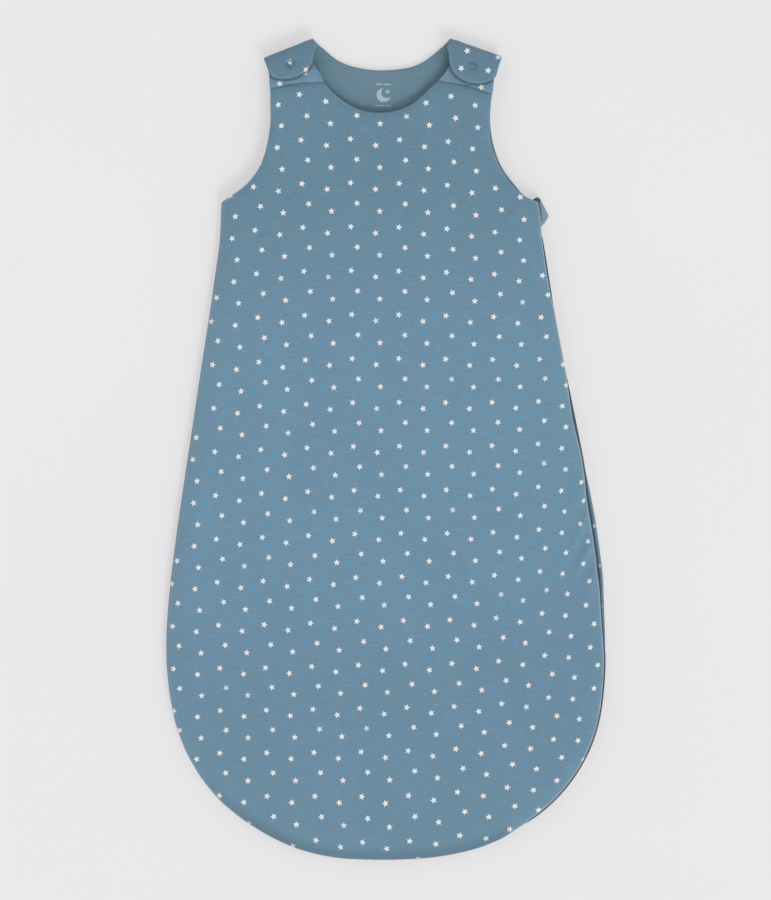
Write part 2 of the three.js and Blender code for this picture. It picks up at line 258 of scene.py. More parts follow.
def make_camera():
    data = bpy.data.cameras.new("camera")
    data.lens, data.sensor_width = CAMERA_LENS, SENSOR
    camera = bpy.data.objects.new("camera", data)
    bpy.context.scene.collection.objects.link(camera)
    above = VIEW_HEIGHT / 2 / (SENSOR / 2 / CAMERA_LENS)
    camera.location = (MIDDLE_X + CAMERA_SHIFT[0], MIDDLE_Y + CAMERA_SHIFT[1], SEAM_Z + above)
    bpy.context.scene.camera = camera


def soft_sun(name, direction, strength, spread):
    """Even light from one side, soft because its source is wide; direction points from it."""
    data = bpy.data.lights.new(name, "SUN")
    data.energy, data.angle = strength, math.radians(spread)
    light = bpy.data.objects.new(name, data)
    light.rotation_euler = Vector(direction).to_track_quat("-Z", "Y").to_euler()
    light.location = -2 * Vector(direction)
    bpy.context.scene.collection.objects.link(light)


def make_stage():
    scene = bpy.context.scene
    scene.view_settings.view_transform = "Standard"
    world = bpy.data.worlds.new("studio")
    scene.world = world
    world.use_nodes = True
    background = world.node_tree.nodes["Background"]
    background.inputs["Color"].default_value = (1, 1, 1, 1)
    background.inputs["Strength"].default_value = WORLD_LIGHT
    soft_sun("key light", (-0.4, 0.75, -1.0), 1.0, 24)

    corners = [(x * FLOOR_HALF, y * FLOOR_HALF, 0) for x, y in ((-1, -1), (1, -1), (1, 1), (-1, 1))]
    floor = new_object("floor", corners, [(0, 1, 2, 3)], smooth=False)
    floor.location.z = -FLOOR_DROP
    floor.data.materials.append(floor_paint())


# ---------------------------------------------------------------- materials
class Nodes:
    """A node tree, with short calls for the nodes that it is made of."""

    def __init__(self, tree):
        self.nodes, self.links = tree.nodes, tree.links

    def add(self, kind, settings=None, **inputs):
        """A node of that kind; inputs are numbers, colours or other nodes' outputs."""
        node = self.nodes.new(kind)
        for key, value in (settings or {}).items():
            setattr(node, key, value)
        for key, value in inputs.items():
            self.put(node.inputs[int(key[1:]) if key[0] == "_" else key.replace("_", " ")], value)
        return node

    def put(self, socket, value):
        if isinstance(value, bpy.types.NodeSocket):
            self.links.new(value, socket)
        else:
            socket.default_value = value

    def math(self, operation, a, b=0.0, c=0.0, clamp=False):
        settings = {"operation": operation, "use_clamp": clamp}
        return self.add("ShaderNodeMath", settings, _0=a, _1=b, _2=c).outputs[0]

    def vector(self, operation, a, b=(0, 0, 0), c=(0, 0, 0)):
        node = self.add("ShaderNodeVectorMath", {"operation": operation}, _0=a, _1=b, _2=c)
        return node.outputs["Value" if operation == "DISTANCE" else "Vector"]


class Look(Nodes):
    """A material of nodes that lead to one shader."""

    def __init__(self, name):
        self.material = bpy.data.materials.new(name)
        self.material.use_nodes = True
        super().__init__(self.material.node_tree)
        self.shader = self.nodes["Principled BSDF"]

    def cloth(self, scale=(1, 1, 1)):
        """The piece's flat cloth coordinates, in metres, times a scale."""
        place = self.add("ShaderNodeUVMap", {"uv_map": "cloth"}).outputs["UV"]
        return self.vector("MULTIPLY", place, scale)

    def noise(self, place, scale=1.0, detail=2.0, roughness=0.5):
        node = self.add("ShaderNodeTexNoise", Vector=place, Scale=scale, Detail=detail, Roughness=roughness)
        return node.outputs["Fac"]

    def solid_noise(self, *settings):
        """Noise in the piece's own space, for pieces without cloth coordinates."""
        return self.noise(self.add("ShaderNodeTexCoord").outputs["Object"], *settings)

    def spread(self, value, low, high, to_low=0.0, to_high=1.0, smooth=False):
        settings = {"interpolation_type": "SMOOTHSTEP" if smooth else "LINEAR"}
        node = self.add("ShaderNodeMapRange", settings, Value=value)
        for key, number in zip(("From Min", "From Max", "To Min", "To Max"), (low, high, to_low, to_high)):
            node.inputs[key].default_value = number
        return node.outputs["Result"]

    def mix(self, factor, a, b, blend="MIX"):
        node = self.add("ShaderNodeMix", {"data_type": "RGBA", "blend_type": blend})
        self.put(node.inputs["Factor"], factor)
        self.put(node.inputs[6], a)
        self.put(node.inputs[7], b)
        return node.outputs[2]

    def shaded(self, colour, tone):
        """The colour made lighter or darker by a factor round 1."""
        grey = self.add("ShaderNodeCombineColor", _0=tone, _1=tone, _2=tone).outputs[0]
        return self.mix(1.0, colour, grey, "MULTIPLY")

    def bump(self, height, distance, strength, below=None):
        node = self.add("ShaderNodeBump", Height=height, Distance=distance, Strength=strength)
        if below is not None:
            self.links.new(below, node.inputs["Normal"])
        return node.outputs["Normal"]

    def set(self, **inputs):
        """The finished material, with those numbers, colours or outputs on its shader's sockets."""
        for key, value in inputs.items():
            self.put(self.shader.inputs[key.replace("_", " ")], value)
        return self.material


def rgb(red, green, blue):
    """A colour given as it looks, from 0 to 255, as the shader's linear values."""
    def linear(value):
        share = value / 255
        return share / 12.92 if share <= 0.04045 else ((share + 0.055) / 1.055) ** 2.4
    return (linear(red), linear(green), linear(blue), 1.0)


FULL_TURN = 2 * math.pi
STAR_RADIUS = 3.95 * MM
STAR_NOTCH = 0.47  # inner radius over outer radius
PRINT_CELL = (53.17 * MM, 48.09 * MM)  # the print's repeat
PRINT_STARS = [  # in each repeat: place, in metres, and the direction of one point, in degrees
    ((0.0, 0.0), 0), ((27.35 * MM, -6.84 * MM), 36),
    ((6.96 * MM, -22.33 * MM), 44), ((31.92 * MM, -30.96 * MM), 90),
]
PRINT_SPREAD = 1.0019  # the padding carries the front's print this much nearer to the camera
FAR_APART = (0.3, 0.3)  # a repeat that is longer than a strap


def star_distance_group():
    """Node group: the signed distance from a cloth place to the outline of the nearest star of one set."""
    group = bpy.data.node_groups.new("star distance", "ShaderNodeTree")
    for name in ("Place", "Centre", "Half cell"):
        group.interface.new_socket(name=name, in_out="INPUT", socket_type="NodeSocketVector")
    group.interface.new_socket(name="Turn", in_out="INPUT", socket_type="NodeSocketFloat")
    group.interface.new_socket(name="Distance", in_out="OUTPUT", socket_type="NodeSocketFloat")
    tree = Nodes(group)
    given = tree.add("NodeGroupInput").outputs
    low_corner = tree.vector("MULTIPLY", given["Half cell"], (-1, -1, -1))
    offset = tree.vector("SUBTRACT", given["Place"], given["Centre"])
    repeated = tree.vector("WRAP", offset, given["Half cell"], low_corner)
    x, y, _ = tree.add("ShaderNodeSeparateXYZ", Vector=repeated).outputs
    radius = tree.math("SQRT", tree.math("ADD", tree.math("MULTIPLY", x, x), tree.math("MULTIPLY", y, y)))
    angle = tree.math("SUBTRACT", tree.math("ARCTAN2", y, x), given["Turn"])
    sector = FULL_TURN / 5
    folded = tree.math("ABSOLUTE", tree.math("WRAP", angle, sector / 2, -sector / 2))
    tip, notch = STAR_RADIUS, STAR_RADIUS * STAR_NOTCH
    edge = (notch * math.cos(sector / 2) - tip, notch * math.sin(sector / 2))
    size = math.hypot(*edge)
    normal = (edge[1] / size, -edge[0] / size)
    across = tree.math("MULTIPLY", tree.math("MULTIPLY", radius, tree.math("COSINE", folded)), normal[0])
    up = tree.math("MULTIPLY", tree.math("MULTIPLY", radius, tree.math("SINE", folded)), normal[1])
    distance = tree.math("SUBTRACT", tree.math("ADD", across, up), tip * normal[0])
    tree.add("NodeGroupOutput", Distance=distance)
    return group


STAR_GROUP = star_distance_group()
IVORY = rgb(243, 243, 239)
IVORY_SHADE = rgb(228, 226, 216)


def star_distance(look, place, centre, turn, half_cell):
    """How far each place lies outside the star at that centre, turned by that many degrees."""
    node = look.add("ShaderNodeGroup", {"node_tree": STAR_GROUP}, Place=place, Centre=(*centre, 0),
                    Half_cell=(*half_cell, 1), Turn=math.radians(turn))
    return node.outputs["Distance"]


PRINT_WARP = 0.25 * MM  # how far the knit pulls the stars' outlines about


def star_print(look, ground, stars, cell):
    """The ground colour with the stars printed over it, and the print's cover from 0 to 1."""
    place = look.cloth()
    wobble = look.add("ShaderNodeTexNoise", Vector=place, Scale=1400.0, Detail=1.0).outputs["Color"]
    shift = look.vector("SUBTRACT", wobble, (0.5, 0.5, 0.5))
    place = look.vector("ADD", place, look.vector("MULTIPLY", shift, (PRINT_WARP, PRINT_WARP, 0)))
    nearest = None
    for centre, turn in stars:
        distance = star_distance(look, place, centre, turn, (cell[0] / 2, cell[1] / 2))
        nearest = distance if nearest is None else look.math("MINIMUM", nearest, distance)
    cover = look.spread(nearest, 0.00012, -0.00028)
    speckle = look.spread(look.noise(look.cloth(), 2300.0, 2.0), 0.25, 0.6, 0.86, 1.0)
    fading = look.spread(look.noise(look.cloth(), 21.0, 1.0), 0.28, 0.4, 0.72, 1.0)
    cover = look.math("MULTIPLY", cover, look.math("MULTIPLY", speckle, fading))
    ink = look.mix(look.spread(nearest, -0.0006, -0.0018), IVORY, IVORY_SHADE)
    return look.mix(cover, ground, ink), cover


WALE, COURSE = 0.85 * MM, 0.62 * MM  # the width of a column of stitches and the height of a row


def knit(look, streak):
    """Jersey: a factor round 1 for its uneven yarn, and the height of its columns of stitches."""
    patches = [  # noise: scale across and along the columns, detail, roughness, and how much it tells
        ((38, 760, 1), 3.0, 0.6, streak), ((14, 9, 1), 2.0, 0.5, 0.02),
        ((900, 1900, 1), 2.0, 0.5, 0.03), ((170, 330, 1), 3.0, 0.65, 0.06),
    ]
    tone = 1.0
    for scale, detail, roughness, amount in patches:
        patch = look.noise(look.cloth(scale), 1.0, detail, roughness)
        tone = look.math("ADD", look.spread(patch, 0.3, 0.7, -amount, amount), tone)
    across, along, _ = look.add("ShaderNodeSeparateXYZ", Vector=look.cloth()).outputs
    column = look.math("MULTIPLY", across, FULL_TURN / WALE)
    chevron = look.math("ABSOLUTE", look.math("SINE", look.math("MULTIPLY", column, 0.5)))
    row = look.math("MULTIPLY", along, FULL_TURN / COURSE)
    row = look.math("ADD", row, look.math("MULTIPLY", chevron, 1.8))
    return tone, look.math("ADD", look.math("MULTIPLY", look.math("SINE", row), 0.35), chevron)


MARK_PLACE = (-2.4 * MM, 387.5 * MM)  # on the lining, below the back of the neck
MOON = ((0, 0), 7.6 * MM), ((3.3 * MM, 2.7 * MM), 6.0 * MM)  # the crescent is the first disc less the second
MARK_STAR = ((5.6 * MM, 5.2 * MM), 18, 1.35)  # place and turn, once drawn that many times smaller
MARK_BARS = [  # centre and half size, in millimetres
    ((-4.6, 11.8), (3.4, 0.55)), ((3.8, 11.8), (3.6, 0.55)),
    ((-3.4, -11.6), (4.8, 0.5)), ((5.6, -11.6), (2.6, 0.5)),
]


def neck_mark(look, ground):
    """The mark printed inside the neck: a crescent moon with a star, between short bars."""
    centre = print_uv(np.array([MARK_PLACE]))[0]
    place = look.vector("SUBTRACT", look.cloth(), (float(centre[0]), float(centre[1]), 0))

    def disc(middle, radius):
        return look.math("SUBTRACT", look.vector("DISTANCE", place, (*middle, 0)), radius)

    mark = look.math("MAXIMUM", disc(*MOON[0]), look.math("MULTIPLY", disc(*MOON[1]), -1.0))
    star, turn, smaller = MARK_STAR
    magnified = look.vector("MULTIPLY", place, (smaller, smaller, 1))
    mark = look.math("MINIMUM", mark, star_distance(look, magnified, star, turn, FAR_APART))
    for middle, half in MARK_BARS:
        off = look.vector("ABSOLUTE", look.vector("SUBTRACT", place, (middle[0] * MM, middle[1] * MM, 0)))
        x, y, _ = look.add("ShaderNodeSeparateXYZ", Vector=off).outputs
        beside, above = look.math("SUBTRACT", x, half[0] * MM), look.math("SUBTRACT", y, half[1] * MM)
        mark = look.math("MINIMUM", mark, look.math("MAXIMUM", beside, above))
    patchy = look.spread(look.noise(look.cloth(), 1500.0, 2.0), 0.3, 0.6, 0.4, 0.8)
    cover = look.math("MULTIPLY", look.spread(mark, 0.00015, -0.0002), patchy)
    return look.mix(cover, ground, rgb(202, 212, 217))


# Colours of painted light for edges: a pale painted highlight and a near-black painted shade.
EDGE_HIGHLIGHT_PAINT = rgb(186, 199, 206)
EDGE_SHADE_PAINT = (0.012, 0.025, 0.035, 1)


def jersey(name, colour, stars=None, roughness=0.92, streak=0.06, cell=PRINT_CELL, panel=False, edged=False,
           marked=False):
    """Cotton jersey, plain or printed with stars. A panel gets painted shade, darker towards its top and its
    foot; an edged piece's "edge" attribute says where a painted highlight lightens it, above 0, and where
    painted shade darkens it, below 0."""
    look = Look(name)
    tone, stitches = knit(look, streak)
    if panel:
        # Painted shade: the panel is made darker towards its top and towards its foot.
        height = look.add("ShaderNodeSeparateXYZ", Vector=look.cloth()).outputs[1]
        tone = look.math("MULTIPLY", tone, look.spread(height, -0.20, 0.04, 1.0, 0.875, smooth=True))
        tone = look.math("MULTIPLY", tone, look.spread(height, -0.58, -0.42, 0.95, 1.0, smooth=True))
    ground = look.shaded(colour, tone)
    height = look.bump(stitches, 0.00016, 0.35)
    soft = look.bump(look.noise(look.cloth((60, 150, 1)), 1.0, 3.0), 0.0009, 0.35, height)
    if stars:
        ground, cover = star_print(look, ground, stars, cell)
        soft = look.bump(cover, 0.00008, 0.5, soft)
    if marked:
        ground = neck_mark(look, ground)
    if edged:
        # The edge attribute paints highlights, above 0, and shade, below 0, into the ground colour.
        edge = look.add("ShaderNodeAttribute", {"attribute_name": "edge"}).outputs["Fac"]
        ground = look.mix(look.math("MULTIPLY", look.math("MAXIMUM", edge, 0.0), 0.5), ground, EDGE_HIGHLIGHT_PAINT)
        dark = look.math("MULTIPLY", look.math("MINIMUM", edge, 0.0), -0.8, clamp=True)
        ground = look.mix(dark, ground, EDGE_SHADE_PAINT)
    look.set(Sheen_Weight=0.18, Sheen_Roughness=0.6, Specular_IOR_Level=0.25)
    return look.set(Base_Color=ground, Roughness=roughness, Normal=soft)


def floor_paint():
    """A pale floor that glows a little, like a photographer's light table, so that shadows stay faint."""
    look = Look("floor")
    tint = look.mix(look.solid_noise(3.0), rgb(236, 234, 235), rgb(238, 236, 237))
    look.set(Roughness=1.0, Specular_IOR_Level=0.0, Emission_Strength=0.545, Emission_Color=tint)
    return look.set(Base_Color=look.shaded(tint, 0.45))


def wadding_look():
    """Loose white fibre, clumped in places."""
    look = Look("wadding")
    fibre = look.noise(look.cloth((90, 90, 1)), 1.0, 6.0, 0.75)
    clump = look.noise(look.cloth((22, 22, 1)), 1.0, 3.0)
    colour = look.mix(look.spread(clump, 0.35, 0.65), rgb(236, 236, 232), rgb(222, 223, 220))
    look.set(Roughness=1.0, Sheen_Weight=0.4)
    return look.set(Base_Color=colour, Normal=look.bump(fibre, 0.0012, 0.8))


def woven(name, colour):
    """Tape woven in herringbone."""
    look = Look(name)
    pitch, turning = 0.7 * MM, 1.6 * MM  # the ribs' spacing, and how far each runs before it turns back
    across, along, _ = look.add("ShaderNodeSeparateXYZ", Vector=look.cloth()).outputs
    zigzag = look.math("PINGPONG", along, turning)
    weave = look.math("SINE", look.math("MULTIPLY", look.math("ADD", across, zigzag), FULL_TURN / pitch))
    ground = look.shaded(colour, look.spread(weave, -1, 1, 0.86, 1.06))
    return look.set(Base_Color=ground, Roughness=0.8, Normal=look.bump(weave, 0.0002, 0.6))


def nylon(name, colour):
    look = Look(name)
    tone = look.spread(look.solid_noise(260.0, 3.0), 0.3, 0.7, 0.9, 1.1)
    return look.set(Base_Color=look.shaded(colour, tone), Roughness=0.38)


def metal(name, colour, roughness, metallic=1.0, wear_and_painted_light=None):
    """Brushed metal, or lacquer that is worn through to another colour in places."""
    look = Look(name)
    brushed = look.solid_noise(900.0, 4.0, 0.7)
    if wear_and_painted_light:
        colour = look.mix(look.spread(look.solid_noise(330.0, 3.0), 0.5, 0.62), colour, wear_and_painted_light)
    ground = look.shaded(colour, look.spread(brushed, 0.3, 0.7, 0.92, 1.05))
    rough = look.spread(brushed, 0.3, 0.7, roughness - 0.06, roughness + 0.08)
    look.set(Base_Color=ground, Metallic=metallic, Roughness=rough)
    return look.set(Normal=look.bump(brushed, 0.00002, 0.4))


def thread(name, colour):
    look = Look(name)
    twist = look.solid_noise(2600.0, 2.0)
    ground = look.mix(look.spread(twist, 0.3, 0.7), colour, rgb(70, 96, 112))
    look.set(Base_Color=ground, Roughness=0.6, Sheen_Weight=0.2)
    return look.set(Normal=look.bump(twist, 0.0001, 0.5))


BLUE, LINING_BLUE = rgb(109, 145, 167), rgb(106, 137, 153)
# The tab's jersey is the print's blue painted darker, as painted shade, and the front strap's painted
# lighter, as painted light.
TAB_BLUE_SHADED, STRAP_BLUE_LIT = rgb(98, 131, 151), rgb(112, 146, 169)


def make_looks():
    """Every look that more than one piece shares, by its use."""
    return {
        "print": jersey("printed jersey", BLUE, PRINT_STARS, panel=True, edged=True),
        "lining": jersey("lining jersey", LINING_BLUE, streak=0.04),
        "neck_lining": jersey("lining jersey with mark", LINING_BLUE, streak=0.04, marked=True),
        "plain": jersey("plain jersey", BLUE),
        "garage": jersey("jersey, wrong side", rgb(128, 152, 168)),
        "wadding": wadding_look(),
        "tape": woven("zip tape", rgb(74, 98, 113)),
        "coil": nylon("zip coil", rgb(66, 90, 104)),
        "slider": metal("zip metal", rgb(158, 164, 168), 0.34),
        "snap": metal("snap metal", rgb(184, 187, 188), 0.3),
        "lacquer": metal("snap lacquer", rgb(104, 134, 152), 0.35, 0.6, wear_and_painted_light=rgb(168, 156, 142)),
        "label": jersey("label satin", rgb(240, 239, 235), roughness=0.5, streak=0.01),
        "thread": thread("thread", rgb(98, 128, 146)),
    }


# Where the cloth lies pulled to one side over its padding: place, reach and pull, in millimetres.
PRINT_PULLS = [
    ((-160, -100), 110, (-1.1, -2.9)), ((200, -340), 70, (4.6, -1.4)), ((40, -420), 70, (-3.0, -1.0)),
    ((160, -100), 110, (-0.2, -2.0)), ((200, 180), 110, (2.3, -1.9)), ((-200, -260), 70, (1.7, -0.9)),
    ((-120, 60), 70, (-0.4, -1.9)), ((120, -260), 70, (0.8, -1.9)), ((0, -420), 40, (-1.8, -3.6)),
    ((0, -340), 110, (-0.1, 1.5)), ((-120, -220), 70, (-0.4, -1.7)), ((120, 340), 70, (-2.3, 0.6)),
    ((0, -140), 70, (-0.4, 1.1)), ((155, 253), 46, (-0.9, -3.4)), ((236, -64), 30, (-12.5, 0.5)),
    ((236, -140), 42, (-4.5, 3.2)), ((71, 387), 22, (1.0, 2.2)), ((-95, 389), 20, (-1.2, 2.2)),
    ((-120, 377), 20, (3.2, -1.4)),
]


def print_uv(points):
    """Where each place of a panel lies on the flat cloth. The print runs slightly off the straight, by a
    curve in millimetres for places in tenths of a metre."""
    pull = np.zeros(points.shape) + (0.6 * MM, 0)
    for place, reach, shift in PRINT_PULLS:
        off = (points - np.array(place) * MM) / (reach * MM)
        pull += np.exp(-(off**2).sum(1))[:, None] * np.array(shift) * MM
    x, y = ((points - pull) * PRINT_SPREAD / 0.1).T
    u = 37.95 + 105.3 * x + 1.61 * y - 0.40 * y**2 - 0.44 * x * y**2 - 0.61 * x * y
    v = -291.8 - 0.09 * x + 100.3 * y + 0.76 * x**2 * y + 0.72 * x * y - 0.71 * x**3
    return np.stack([u, v], 1) * MM


# ---------------------------------------------------------------- the bag's outline and its stretches
STRETCHES = ("zip", "arm_right", "yoke_right", "neck", "yoke_left", "arm_left", "side")
KINDS = {"zip": "zip", "side": "side", "neck": "opening", "arm_left": "opening", "arm_right": "opening",
         "yoke_left": "yoke", "yoke_right": "yoke"}
ALL_EDGES = ("zip", "side", "opening", "yoke")
EDGE_STEP = 3.4 * MM
ZIP_TOP_Y = 0.2705
ZIP_BEND_Y = -0.137  # the zip runs straight from its top to here, then round the corner
ZIP_FOOT_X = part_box("zip_tape_back")[0].x
# How far the long stretch lies outside the straight line from its top to its bend, down its length, in mm.
ZIP_EASE = np.array([(0, 0), (0.04, 0.4), (0.1, -0.5), (0.2, -1.5), (0.32, -1.2), (0.43, 0.0), (0.53, 1.0),
                     (0.64, 2.5), (0.75, 3.6), (0.86, 4.0), (1.0, 2.2)])

FRONT_EDGE, COIL_MIDDLE, BACK_EDGE = 1, 2, 3  # columns of the table below
# Down the zip: height up the bag, then how far the front's edge, the middle of the zip's coil and the
# back's edge lie inside the bag's outline, in millimetres. The zip gapes below 80, most around -130.
ZIP_PROFILE = np.array([
    (-450, 2.3, 1.3, 1.0), (-228, 2.3, 1.3, 0.9), (-205, 3.4, 2.8, 0.2), (-189, 3.8, 3.6, 0.0),
    (-158, 4.7, 4.2, 0.0), (-146, 5.2, 4.4, 0.0), (-133, 6.6, 4.4, 0.0), (-121, 5.9, 4.6, 0.0),
    (-95, 5.8, 5.0, 0.0), (-70, 6.2, 5.0, 0.0), (-48, 5.6, 4.2, 0.3), (-30, 3.7, 2.6, 0.9),
    (-10, 2.7, 1.9, 1.4), (34, 4.2, 1.9, 1.5), (58, 3.0, 1.9, 1.6), (84, 1.3, 2.3, 1.8),
    (150, 0.9, 2.2, 1.7), (172, 2.0, 1.5, 1.4), (205, 2.2, 1.3, 1.2), (235, 1.9, 2.0, 1.0),
    (247, 0.7, 5.0, 0.9), (262, 0.0, 5.0, 0.8), (275, 0.2, 5.0, 0.8),
])


def starting_at(loop, place):
    """The closed outline, begun at its point nearest to that place."""
    first = int(np.argmin(np.hypot(*(loop - np.array(place)).T)))
    return np.roll(loop, -first, 0)


def front_outline():
    """The whole front's outline: the fixed part and the flap, joined over the fold line."""
    low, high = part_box("front_outer")
    fixed = starting_at(cap_outline("front_outer"), (high.x, 0.33))
    flap = starting_at(cap_outline("flap_outer"), (high.x, low.y + 0.02))
    return np.vstack([fixed[1:-1], flap[1:-1]])


def corner_places(loop):
    """The outline's sharp corners, in order from the zip's top round to the left armpit."""
    into = loop - np.roll(loop, 1, 0)
    out = np.roll(loop, -1, 0) - loop
    turn = np.degrees(np.arctan2(into[:, 0] * out[:, 1] - into[:, 1] * out[:, 0], (into * out).sum(1)))
    corners = loop[turn > 40]
    return np.roll(corners, -int(np.argmax(corners[:, 0])), 0)


def ease_zip(path):
    """The zip's stretch, eased off the straight line by the table above."""
    share = (ZIP_TOP_Y - path[:, 1]) / (ZIP_TOP_Y - ZIP_BEND_Y)
    ease = np.interp(share, ZIP_EASE[:, 0], ZIP_EASE[:, 1]) * np.clip(1 - (share - 1) / 0.12, 0, 1)
    path = path.copy()
    path[:, 0] += ease * MM
    return smooth_path(path, 10)


def zip_inset(path, column):
    """The inset down the zip, which grows from nothing where the zip starts at the bag's foot."""
    inset = np.interp(path[:, 1] / MM, ZIP_PROFILE[:, 0], ZIP_PROFILE[:, column]) * MM
    started = smoothstep(lengths_along(path), -5 * MM, 45 * MM)
    return inset + 2.5 * MM * (1 - started) if column == COIL_MIDDLE else inset * started


def armhole_inset(path):
    """The right armhole's front edge draws back from the back's edge, most in its lower half."""
    y = path[:, 1]
    return (0.3 + 3.0 * smoothstep(-y, -0.375, -0.318) * smoothstep(y, 0.268, 0.30)) * MM


ARMPIT_SAG = 2.5 * MM  # the right armhole dips this much just before the zip's top
YOKE_BOW = {"yoke_right": (1.6 * MM, 4), "yoke_left": (1.8 * MM, 0.8)}  # the seams' bow, and its power


def sagged(path):
    """The right armhole, with its dip near the armpit."""
    x = path[:, 0]
    return shifted(path, ARMPIT_SAG * bell(x - 0.153, 9 * MM) * smoothstep(-x, -0.166, -0.160))


def bowed(path, amount, power):
    """The path bent outwards by that amount at its middle; a higher power keeps its ends straighter."""
    share = lengths_along(path) / lengths_along(path)[-1]
    return shifted(path, -amount * np.sin(math.pi * share) ** power)


def drawn_in(path):
    """The left side lies a little inside its sewn line, most just below the armpit."""
    reach = lengths_along(path)
    ends = smoothstep(reach[-1] - reach, 0, 12 * MM) * smoothstep(path[:, 0], 0.05, -0.1)
    return shifted(path, (0.8 * MM + 1.7 * MM * bell(path[:, 1] - 0.228, 28 * MM)) * ends)


def stretches_of(loop, zip_column=None, zip_back=0.0, set_back=0.0):
    """The outline's stretches by name, each a smooth path that runs anticlockwise. The zip's lies inside the
    outline by the table's column or by zip_back, the others by set_back."""
    zip_top, *others = corner_places(loop)
    foot = loop[np.argmin(np.abs(loop[:, 0] - ZIP_FOOT_X) + np.where(loop[:, 1] < -0.3, 0, 9))]
    ends = [foot, zip_top, *others, foot]
    paths = {}
    for name, start, end in zip(STRETCHES, ends, ends[1:]):
        turned = starting_at(loop, start)
        last = int(np.argmin(np.hypot(*(turned - end).T))) or len(turned)
        path = np.vstack([turned, turned[:1]])[: last + 1]
        path = smooth_path(resample(path, EDGE_STEP), 0 if KINDS[name] == "yoke" else 10)
        if name == "arm_right":
            path = sagged(path)
        if name == "side":
            path = drawn_in(path)
        if name in YOKE_BOW and zip_column == FRONT_EDGE:
            path = bowed(path, *YOKE_BOW[name])
        if name == "zip":
            path = ease_zip(path)
            path = shifted(path, zip_inset(path, zip_column) if zip_column else zip_back)
        elif name == "arm_right" and zip_column == FRONT_EDGE:
            path = shifted(path, armhole_inset(path))
        elif set_back:
            path = shifted(path, set_back)
        paths[name] = path
    return paths


class Panel:
    """A flat region's mesh: its outline's stretches, the places in it, and their distances to the edges."""

    def __init__(self, stretches, step, rings=(0.5, 1.5, 3.0, 5.0, 7.6, 10.6)):
        """The mesh has rings at those millimetres from the edge, and inside them places a step apart."""
        self.stretches = stretches
        self.loop = np.vstack([path[:-1] for path in stretches.values()])
        self.count = len(self.loop)
        self.inward = left_normals(self.loop, True)
        closed = np.vstack([self.loop, self.loop[:1]])
        layers = []
        for distance in rings:
            ring = self.loop + self.inward * distance * MM
            ring = ring[inside(ring, self.loop)]
            layers.append(ring[nearest_on(ring, closed)[0] > distance * MM * 0.93])
        low, high = self.loop.min(0), self.loop.max(0)
        rows = np.arange(low[1], high[1], step * 0.866)
        grid = np.array([
            (x + (i % 2) * step / 2, y) for i, y in enumerate(rows) for x in np.arange(low[0], high[0], step)
        ])
        grid = grid[inside(grid, self.loop)]
        grid = grid[nearest_on(grid, closed)[0] > rings[-1] * MM + step * 0.6]
        given = np.vstack([self.loop, *layers, grid])
        outline = [list(range(self.count))]
        made = delaunay_2d_cdt([Vector(p) for p in given], [], outline, 1, 1e-9)
        self.points = np.array([tuple(v) for v in made[0]])
        self.faces = [tuple(f) for f in made[2]]
        self.reach, self.along = {}, {}
        for name, path in stretches.items():
            self.reach[name], self.along[name] = nearest_on(self.points, path)

    def distance(self, *kinds):
        names = [name for name in self.stretches if KINDS.get(name, name) in kinds]
        return np.min([self.reach[name] for name in names], 0)

    def edge_values(self, amounts):
        """A number for each outline point, from its stretch's kind, eased at the corners."""
        values = np.concatenate([
            np.full(len(path) - 1, amounts[KINDS.get(name, name)]) for name, path in self.stretches.items()
        ])
        for _ in range(3):
            values = (np.roll(values, 1) + 2 * values + np.roll(values, -1)) / 4
        return values


def roll_off(distance, width):
    """From 1 at an edge to 0 at that width inside it, round like a rolled edge."""
    t = np.clip(distance / width, 0, 1)
    return 1 - np.sqrt(t * (2 - t))


def together(*drops):
    """Several edges' drops as one, without a crease where they meet."""
    return np.sum([np.maximum(d, 0) ** 4 for d in drops], 0) ** 0.25


def gathers(panel, name, size, reach, seed):
    """Small uneven ripples that fade away from a sewn edge."""
    wave = np.array([noise.noise((v / size, seed, 0.0)) for v in panel.along[name]])
    return wave * np.exp(-panel.reach[name] / reach)


# Creases of the front near the gaping zip, under the right arm and at the left side: place, direction in
# degrees, length, width and depth in millimetres. They start where a seam holds the cloth short.
CREASES = [
    ((220, -70), 252, 60, 4.2, 3.2), ((226, -100), 247, 66, 4.4, 3.8), ((230, -130), 256, 56, 4.2, 3.4),
    ((234, -166), 262, 50, 5.0, 2.0), ((213, -40), 250, 46, 4.6, 2.4), ((237, -200), 266, 40, 5.0, 1.4),
    ((118, 352), 300, 44, 5.0, 1.7), ((124, 322), 318, 34, 5.0, 1.5), ((-122, 345), 250, 40, 6.0, 1.2),
    ((-214, -20), 300, 60, 9.0, 1.2), ((-228, -110), 285, 70, 10.0, 1.2), ((146, 262), 230, 36, 4.5, 1.6),
]


def crease_height(points):
    """How far the creases raise or lower the cloth at each place."""
    total = np.zeros(len(points))
    for (x, y), direction, length, width, depth in CREASES:
        turn = math.radians(direction)
        offset = points / MM - (x, y)
        along = offset @ (math.cos(turn), math.sin(turn))
        across = offset @ (-math.sin(turn), math.cos(turn)) + 0.002 * along**2
        fade = smoothstep(along, -4, 6) * smoothstep(-along, -length, -length * 0.3)
        wave = bell(across, width) - 0.55 * bell(across - 1.7 * width, width)
        total += depth * fade * wave
    return total * MM


